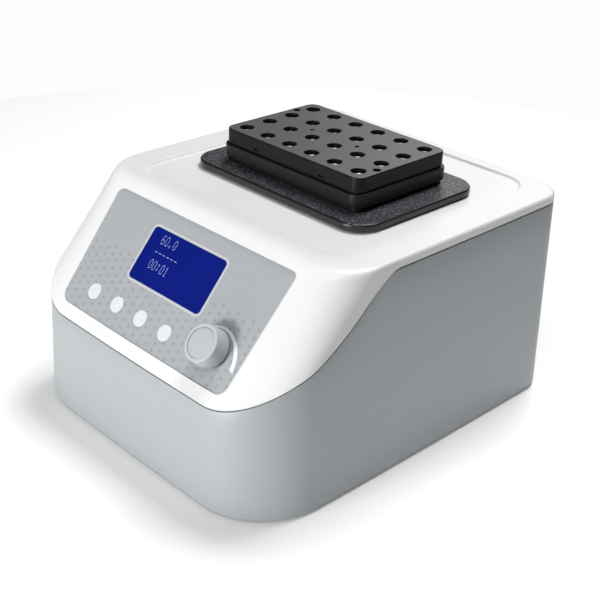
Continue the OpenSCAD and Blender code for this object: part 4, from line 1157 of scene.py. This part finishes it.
# ---------------- floor and light
FLOOR_R, FLOOR_SIDES, FLOOR_GLOW = 0.58, 192, 0.10
WORLD_LIGHT, BACKGROUND = 0.07, 0.98  # strength for the object, and as the camera sees it
# Name, place, aim, size and watts of each light, in metres
LIGHTS = (
    ("light_top", (0.0, 0.5, 1.4), (0, 0, 0.05), (0.6, 0.6), 17.0),
    ("light_front", (-0.1, -1.5, 0.24), (0, 0, 0.05), (0.5, 0.4), 19.0),
    ("light_key", (0.35, -0.72, 1.3), (0, 0, 0.1), (0.45, 0.45), 5.0),
    ("light_rear", (-0.75, 1.55, 0.95), (0, 0, 0.2), (1.0, 0.7), 5.0),
)


def make_floor():
    """Pale disc under the part, lit so that its edge fades into the background."""
    angles = [2 * pi * k / FLOOR_SIDES for k in range(FLOOR_SIDES)]
    mesh = bpy.data.meshes.new("floor")
    mesh.from_pydata([(FLOOR_R * cos(a), FLOOR_R * sin(a), 0) for a in angles], [],
                     [tuple(range(FLOOR_SIDES))])
    mat = material("floor_paper", (0.9, 0.9, 0.9), 0.9, specular=0.1)
    mottle(mat, 3, (0.895, 0.895, 0.895), (0.905, 0.905, 0.905))
    glow(mat, (1, 1, 1), FLOOR_GLOW)
    mesh.materials.append(mat)
    floor = bpy.data.objects.new("floor", mesh)
    bpy.context.scene.collection.objects.link(floor)


def make_world():
    """Weak even light, behind which the camera sees a white background."""
    bpy.context.scene.view_settings.view_transform = "Standard"
    world = bpy.data.worlds.new("studio")
    world.use_nodes = True
    nodes, links = world.node_tree.nodes, world.node_tree.links
    background = nodes["Background"]
    background.inputs["Color"].default_value = (1, 1, 1, 1)
    path, span = nodes.new("ShaderNodeLightPath"), nodes.new("ShaderNodeMapRange")
    span.inputs["To Min"].default_value = WORLD_LIGHT
    span.inputs["To Max"].default_value = BACKGROUND
    links.new(path.outputs["Is Camera Ray"], span.inputs["Value"])
    links.new(span.outputs["Result"], background.inputs["Strength"])
    bpy.context.scene.world = world


def make_lights():
    for name, place, aim, size, watts in LIGHTS:
        data = bpy.data.lights.new(name, "AREA")
        data.shape = "RECTANGLE"
        data.size, data.size_y = size
        data.energy = watts
        light = bpy.data.objects.new(name, data)
        bpy.context.scene.collection.objects.link(light)
        light.location = place
        light.rotation_euler = (Vector(aim) - Vector(place)).to_track_quat("-Z", "Y").to_euler()


make_floor()
make_world()
make_lights()
